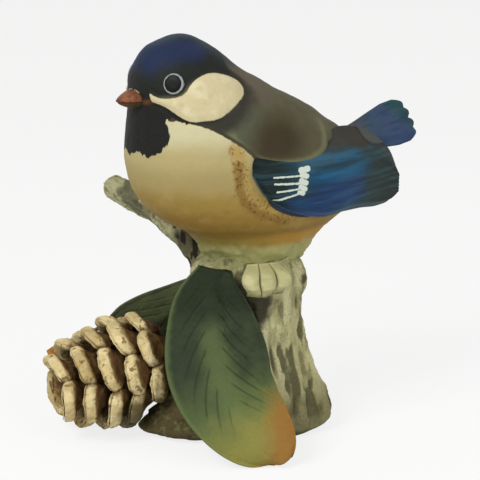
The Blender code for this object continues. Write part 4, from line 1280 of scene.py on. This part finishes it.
def leaf_grids(midline, sideways, stations, half_width, rib, vein_depth, rim):
    """Face, back and paint of a leaf along a midline, with a midrib, side veins and a turned-up rim."""
    u = np.linspace(0, 1, LEAF_ROWS)
    w = np.linspace(-1, 1, LEAF_COLUMNS)
    here = np.array([midline(min(max(s, 0.0), 1.0)) for s in u])
    ahead = unit(np.array([midline(min(s + 0.02, 1.0)) - midline(max(s - 0.02, 0.0)) for s in u]))
    side = unit(np.array(sideways) - ahead * (ahead @ np.array(sideways))[:, None])
    out = unit(np.cross(ahead, side))
    width = column(stations, u)[:, None]
    reach = w[None] * width * half_width
    along = u[:, None] * VEINS - np.abs(w)[None] * width * VEIN_SWEEP
    vein = np.abs((along + 0.5) % 1.0 - 0.5)
    valley = fade(VEIN_HALF_WIDTH - vein, 0.0, VEIN_HALF_WIDTH)
    valley = valley * (fade(np.abs(w), 0.08, 0.2) * fade(1 - np.abs(w), 0.10, 0.5))[None]
    valley = valley * (fade(u, 0.06, 0.2) * fade(1 - u, 0.10, 0.35))[:, None]
    midrib = bump(w, 0.2)[None] * fade(1 - u, 0.02, 0.3)[:, None]
    lift = rib * midrib - LEAF_CUP * (w * w)[None] - vein_depth * valley
    lift = lift + rim * fade(np.abs(w), 0.86, 0.97)[None]
    flat = here[:, None] + side[:, None] * reach[..., None]
    rough = 0.22 * grain(flat, 5.0, 3, 1.0) + 0.10 * grain(flat, 1.2, 2, 2.0)
    face = flat + out[:, None] * (lift + rough)[..., None]
    thick = LEAF_EDGE + (LEAF_THICKNESS - LEAF_EDGE) * (1 - w ** 4)
    inner = np.maximum(width * half_width - FIT, width * half_width / 2)
    back = here[:, None] + side[:, None] * (w[None] * inner)[..., None]
    back = back - out[:, None] * (LEAF_CUP * w * w + thick)[None, :, None]
    # pushed out of the bark wherever the leaf would run into it
    thick = np.linalg.norm(face - back, axis=-1)
    face, back = clear_of_bark(face, 2 * FIT + thick), clear_of_bark(back, 2 * FIT)
    return face, back, {"along": u[:, None] + 0 * reach, "across": w[None] + 0 * reach, "valley": valley}


def leaf_finish(name, dark, mid, light):
    """The ground coat of a leaf: green with darker and lighter clouds."""
    paint = Paint(name, "leaf_paint", mid, 0.66)
    paint.mottle(dark, 7.0, 0.8, 0.40, 0.62)
    paint.mottle(light, 5.0, 0.35, 0.55, 0.75)
    return paint


def make_front_leaf():
    """Hangs over the front of the stump's top and kicks out to the table."""
    top = RIM_SHARE * STUMP_HEIGHT

    def midline(u):
        height = top + (FRONT_LEAF_TIP_HEIGHT - top) * u ** FRONT_LEAF_DROP_POWER
        swing = FRONT_LEAF_SWING * smoothstep(u) ** FRONT_LEAF_TURN_POWER
        bearing = FRONT_LEAF_BEARING + (swing - FRONT_LEAF_BOW * math.sin(math.pi * u))
        kick = smoothstep((u - FRONT_LEAF_KICK_START) / (1 - FRONT_LEAF_KICK_START))
        radius = TRUNK_RADIUS + LEAF_THICKNESS + FRONT_LEAF_STANDOFF
        radius += FRONT_LEAF_KICK * kick ** FRONT_LEAF_KICK_POWER
        across = np.array((math.cos(bearing), TRUNK_DEPTH_RATIO * math.sin(bearing), 0.0))
        return TRUNK_CENTRE + across * radius + np.array((0, 0, height))

    sideways = (1, 0.05, 0)
    face, back, paint = leaf_grids(
        midline, sideways, FRONT_LEAF_STATIONS, FRONT_LEAF_HALF_WIDTH, rib=0.25, vein_depth=0.28, rim=0.6
    )
    paint["tip"] = paint["along"] + 0.16 * paint["across"]
    paint["band"] = bump(paint["across"], 0.34) * fade(paint["along"], 0.12, 0.5)
    blade_skin("front_leaf", face, back, front_leaf_finish(), paint)


def front_leaf_finish():
    finish = leaf_finish("front_leaf_paint", (42, 50, 34), (54, 62, 43), (68, 78, 50))
    finish.wash("across", (38, 46, 31), 0.0, -0.6, 0.6, 0.15, 4.0)
    # painted shade at the leaf's top, where it runs in under the stump's rim
    finish.wash("along", (30, 39, 25), 0.34, 0.05, 0.85, 0.06, 6.0)
    finish.wash("along", (84, 97, 56), 0.50, 0.76, 0.9, 0.08, 6.0)
    finish.wash("across", (84, 98, 60), -0.84, -0.97, 0.7, 0.05, 2.5)
    finish.wash("band", (88, 102, 60), 0.1, 0.9, 0.6, 0.3, 4.0)
    finish.wash("along", (126, 122, 60), 0.66, 0.86, 0.95, 0.08, 6.0)
    finish.wash("tip", (136, 96, 44), 0.79, 0.99, 0.95, 0.09, 6.0)
    finish.wash("along", (140, 104, 48), 0.90, 1.0, 0.7, 0.06, 4.0)
    # painted shade in the vein grooves
    finish.wash("valley", (34, 42, 28), 0.3, 0.9, 0.55, 0.2, 1.0)
    finish.speckle((40, 38, 24), 0.4, 0.30, 0.45)
    finish.relief(0.9, 0.10)
    finish.relief(2.5, 0.20, 3.0)
    return finish.done()


def cone_matrix():
    """The cone's own frame: origin at its base, local +Z along its axis to the tip."""
    height = cone_envelope(CONE_BELLY_SHARE) + TABLE_CLEARANCE
    height += CONE_REST_SHARE * CONE_LENGTH * math.sin(CONE_DIP)
    bearing = CONE_BEARING - math.pi
    start = trunk_point(height / STUMP_HEIGHT, math.pi, CONE_STANDOFF)
    start[1] += CONE_OFFSET
    axis = Vector((-math.cos(bearing), -math.sin(bearing), -math.tan(CONE_DIP))).normalized()
    up = (Vector((0, 0, 1)) - axis * axis.z).normalized()
    turn = Matrix((up, axis.cross(up), axis)).transposed().to_4x4()
    return np.array(Matrix.Translation(Vector(start)) @ turn)


def scale_splay(share):
    return SCALE_SPLAY + (TIP_SPLAY - SCALE_SPLAY) * share ** 2


def cone_envelope(share):
    core = CONE_CORE_RADIUS * column(CORE_STATIONS, share)
    return core + FIT + SCALE_THICKNESS + SCALE_LENGTH * math.sin(scale_splay(share))


def from_cone(points, matrix):
    return points @ matrix[:3, :3].T + matrix[:3, 3]


def make_rear_leaf(matrix):
    """Leaves the stump behind the cone and lies against the cone's back, its tip past the cone's end."""
    reach = cone_envelope(CONE_BELLY_SHARE) + REAR_LEAF_STANDOFF + LEAF_THICKNESS
    start = trunk_point(REAR_LEAF_ROOT_SHARE, REAR_LEAF_BEARING)

    def beside(lean, distance, along):
        return from_cone(np.array((distance * math.cos(lean), distance * math.sin(lean), along)), matrix)

    over = beside(REAR_LEAF_LEAN, REAR_LEAF_BOW * reach, CONE_BELLY_SHARE * CONE_LENGTH)
    end = beside(REAR_LEAF_TIP_LEAN, REAR_LEAF_TUCK * reach, CONE_LENGTH + REAR_LEAF_TIP_REACH)

    def midline(u):
        return start * (1 - u) ** 2 + over * 2 * u * (1 - u) + end * u * u

    tangent = matrix[:3, :3] @ np.array((-math.sin(REAR_LEAF_TIP_LEAN), math.cos(REAR_LEAF_TIP_LEAN), 0))
    face, back, paint = leaf_grids(
        midline, tangent, REAR_LEAF_STATIONS, REAR_LEAF_HALF_WIDTH, rib=0.5, vein_depth=0.15, rim=0.3
    )
    blade_skin("rear_leaf", face, back, rear_leaf_finish(), paint)


def rear_leaf_finish():
    finish = leaf_finish("rear_leaf_paint", (56, 61, 42), (68, 74, 48), (82, 86, 55))
    finish.wash("along", (100, 98, 54), 0.78, 0.86, 0.9, 0.04, 4.0)
    finish.wash("along", (164, 110, 48), 0.83, 0.92, 0.95, 0.03, 4.0)
    # painted shade in the vein grooves
    finish.wash("valley", (46, 50, 33), 0.4, 0.9, 0.3, 0.15, 1.0)
    finish.speckle((40, 36, 22), 0.4, 0.30, 0.5)
    finish.relief(0.9, 0.12)
    finish.relief(2.5, 0.2, 3.0)
    return finish.done()


# ---------------------------------------------------------------- pine cone


def recess_finish():
    finish = Paint("recess_paint", "cone_recess", (74, 54, 30), 0.8)
    finish.mottle((112, 88, 46), 2.5, 0.7, 0.5, 0.7)
    finish.mottle((40, 30, 18), 1.8, 0.8, 0.5, 0.65)
    finish.relief(0.9, 0.4)
    return finish.done()


def make_core(matrix):
    """The core and its stalk, a peg into the stump's side."""
    finish = recess_finish()
    level = np.linspace(0, 1, 120)
    radius = CONE_CORE_RADIUS * column(CORE_STATIONS, level) - FIT
    angle = round_angles(150)
    x, y = radius[:, None] * np.cos(angle), radius[:, None] * np.sin(angle)
    points = stack(x, y, level[:, None] * CONE_LENGTH)
    points = raised(points, CORE_LUMPS * grain(points, 3.2, 3))
    skin("cone_core", from_cone(points, matrix), finish)
    reach = CONE_STANDOFF + PLUG_DEPTH + STALK_SEAT
    z = np.linspace(-reach, PLUG_DEPTH, 40)[:, None]
    spoke = round_angles(48)
    stalk = stack(STALK_RADIUS * np.cos(spoke) + 0 * z, STALK_RADIUS * np.sin(spoke) + 0 * z, z)
    stalk = raised(stalk, STALK_LUMPS * grain(stalk, 2.5, 3))
    skin("cone_stalk", from_cone(stalk, matrix), finish)


def scale_finish():
    paint = Paint("scale_paint", "cone_cream", (196, 178, 128), 0.7)
    paint.mottle((214, 200, 154), 3.0, 0.8, 0.45, 0.62)
    paint.mottle((160, 136, 82), 2.4, 0.5, 0.55, 0.72)
    paint.mottle((150, 124, 76), 9.0, 0.55, 0.50, 0.64)
    # painted shade towards each scale's root, down between the scales
    paint.wash("depth", (132, 104, 58), 0.80, 0.58, 0.85, 0.25, 1.8)
    paint.wash("depth", (80, 56, 32), 0.66, 0.44, 0.95, 0.20, 1.4)
    paint.wash("depth", (50, 36, 22), 0.46, 0.20, 0.9, 0.08, 1.2)
    # painted shade in each scale's dish, and a brown patch over its middle that is stronger on some scales
    paint.wash("hollow", (94, 68, 38), 0.30, 0.8, 0.85, 0.3, 1.5)
    # painted shade along the scale's sides, between it and its neighbours
    paint.wash("side", (78, 56, 32), 0.80, 0.99, 0.85, 0.12, 1.2)
    paint.mottle((106, 80, 44), 1.8, 0.85, 0.57, 0.67)
    # scales low down, near the table and the stump, are painted dark brown with olive flecks
    paint.wash("under", (70, 58, 32), 0.2, 0.8, 0.85, 0.35, 2.5)
    paint.flecks("under", (96, 98, 60), 2.2, 0.1, 0.7, 0.7)
    paint.speckle((70, 52, 28), 0.6, 0.34, 0.4)
    paint.relief(1.0, 0.18)
    paint.relief(0.4, 0.05, 3.0)
    return paint.done()


def make_scale(number, share, count, turn, finish, matrix):
    """One thick petal: a wedge of the row's cone-shaped sheet, narrow at its root and round at its rim."""
    splay = scale_splay(share)
    heel = share + SCALE_THICKNESS * math.sin(splay) / CONE_LENGTH
    core = CONE_CORE_RADIUS * column(CORE_STATIONS, heel)
    length = SCALE_LENGTH * (0.62 + 0.38 * core / CONE_CORE_RADIUS)
    half = math.pi / count
    # pressed on by hand, so no two sit quite alike
    splay += SPLAY_WANDER * math.sin(2.3 * number)
    length *= 0.99 + LENGTH_WANDER * math.sin(3.7 * number + 1)
    turn += TURN_WANDER / count * math.sin(5.1 * number)
    u, v = grid(52, 64)
    w = 2 * v - 1

    def at(depth):
        reach = length * u * (1 - 0.12 * w ** 2 - 0.22 * w ** 4)
        width = half * (0.62 + 0.44 * smoothstep(u * 1.6)) * (1 - 0.03 * u ** 6)
        radius = core + reach * math.sin(splay) + (SCALE_THICKNESS - depth) * math.cos(splay)
        radius = radius - SCALE_CUP * w * w * u
        along = share * CONE_LENGTH + reach * math.cos(splay) + depth * math.sin(splay)
        return stack(radius * np.cos(w * width), radius * np.sin(w * width), along)

    rim = np.sqrt(np.clip(4.0 * np.minimum(1 - u, np.minimum(v, 1 - v) * 1.4), 0, 1))
    lip = bump((1 - u) - 0.24, 0.20) * (1 - w ** 4)
    dish = fade(u, 0.10, 0.35) * fade(1 - u, 0.32, 0.6) * (1 - w * w)
    face = at(SCALE_ROUND * (1 - rim) - SCALE_LIP * lip + SCALE_DISH * dish)
    back = at(SCALE_THICKNESS * (0.55 + 0.45 * rim) + 0.20 * lip)
    rings = from_cone(turned(blade(face, back), 2 * np.pi * turn), matrix)
    rough = SCALE_LUMPS * grain(rings, 3.4, 3, number * 1.7) + 0.10 * grain(rings, 1.0, 2, number * 0.9)
    tip = both_sides(fade(u, 0.05, 0.3))
    rings = raised(rings, rough * tip)
    # a brown patch over the middle of the scale, stronger on some scales
    middle_patch = fade(u, 0.30, 0.60) * fade(1 - u, 0.12, 0.34) * fade(1 - w * w, 0.30, 0.85)
    middle_patch = middle_patch * (0.55 + 0.45 * math.sin(2.9 * number))
    hollow = np.concatenate([np.maximum(dish, middle_patch), 0 * u], axis=1)
    under = fade(rings[..., 0], -36.0, -25.0) * fade(16.0 - rings[..., 2], 0.0, 7.0)
    paint = {"depth": both_sides(u), "side": np.abs(both_sides(w)), "hollow": hollow, "under": under}
    skin("cone_scale_%02d" % number, rings, finish, paint)


def make_cone(matrix):
    """The core, and rows of scales that are turned half a scale against each other."""
    make_core(matrix)
    finish = scale_finish()
    number = 1
    for row, (share, count) in enumerate(SCALE_ROWS):
        turns = [(k + 0.5 * (row % 2)) / count for k in range(count)]
        # the first row leaves off the scales over the root
        if row == 0:
            turns = sorted(turns, key=lambda turn: abs(math.remainder(turn, 1.0)))[:count - SCALES_OVER_ROOT]
            turns.sort()
        for turn in turns:
            make_scale(number, share, count, turn, finish, matrix)
            number += 1


# ---------------------------------------------------------------- studio

LENS = 120.0
SENSOR = 36.0
CAMERA_DISTANCE = 420.0
CAMERA_RISE = math.radians(14)
TARGET = np.array((0.0, 0.0, 52.0))
# The floor's radius is in metres.
FLOOR_RADIUS = 3.0
FLOOR_WHITE = 0.80
SKY_POWER = 0.48


def make_camera():
    data = bpy.data.cameras.new("camera")
    data.lens = LENS
    data.sensor_width = SENSOR
    camera = added("camera", data)
    away = np.array((0.0, -math.cos(CAMERA_RISE), math.sin(CAMERA_RISE))) * CAMERA_DISTANCE
    camera.location = Vector((TARGET + away) * MM)
    camera.rotation_euler = (math.pi / 2 - CAMERA_RISE, 0.0, 0.0)
    bpy.context.scene.camera = camera


def make_lamp(name, place, size, power):
    """A soft square lamp that looks at the figurine; place and size are in millimetres."""
    data = bpy.data.lights.new(name, "AREA")
    data.size = size * MM
    data.energy = power
    lamp = added(name, data)
    lamp.location = Vector(place) * MM
    look = Vector(TARGET * MM) - lamp.location
    lamp.rotation_euler = look.to_track_quat("-Z", "Y").to_euler()


def show_white(nodes, shader, glow, share, output):
    """Mixes a white glow into what the camera and reflections see of a shader."""
    ray = nodes.add("ShaderNodeLightPath").outputs
    seen = nodes.maths("MAXIMUM", ray["Is Camera Ray"], ray["Is Glossy Ray"])
    white = nodes.add(glow)
    white.inputs["Color"].default_value = (1.0, 1.0, 1.0, 1.0)
    blend = nodes.add("ShaderNodeMixShader")
    nodes.join(nodes.maths("MULTIPLY", seen, share), blend.inputs[0])
    nodes.join(nodes.tree.nodes[shader].outputs[0], blend.inputs[1])
    nodes.join(white.outputs[0], blend.inputs[2])
    nodes.join(blend.outputs[0], nodes.tree.nodes[output].inputs["Surface"])


def make_studio():
    """A white floor and sky, two soft lamps and plain colour."""
    bpy.ops.mesh.primitive_circle_add(vertices=96, radius=FLOOR_RADIUS, fill_type="NGON")
    floor = bpy.context.object
    floor.name = "floor"
    finish = bpy.data.materials.new("floor_paint")
    nodes = Nodes(finish)
    cloth = nodes.tree.nodes["Principled BSDF"].inputs
    cloth["Base Color"].default_value = (0.80, 0.80, 0.79, 1.0)
    cloth["Roughness"].default_value = 0.9
    show_white(nodes, "Principled BSDF", "ShaderNodeEmission", FLOOR_WHITE, "Material Output")
    floor.data.materials.append(finish)
    world = bpy.data.worlds.new("studio")
    bpy.context.scene.world = world
    nodes = Nodes(world)
    sky = nodes.tree.nodes["Background"].inputs
    sky["Color"].default_value = (1.0, 0.985, 0.96, 1.0)
    sky["Strength"].default_value = SKY_POWER
    show_white(nodes, "Background", "ShaderNodeBackground", 1.0, "World Output")
    make_lamp("key", (-330, -420, 520), 320, 3.5)
    make_lamp("fill", (420, -360, 240), 420, 1.3)
    bpy.context.scene.view_settings.view_transform = "Standard"


# ---------------------------------------------------------------- all of it

make_camera()
make_bird_body()
make_wing("left_wing", 1)
make_wing("right_wing", -1)
make_tail()
make_beak()
make_eyes()
make_stump()
make_foot("left_foot", 1)
make_foot("right_foot", -1)
make_branch()
make_front_leaf()
cone = cone_matrix()
make_rear_leaf(cone)
make_cone(cone)
make_studio()
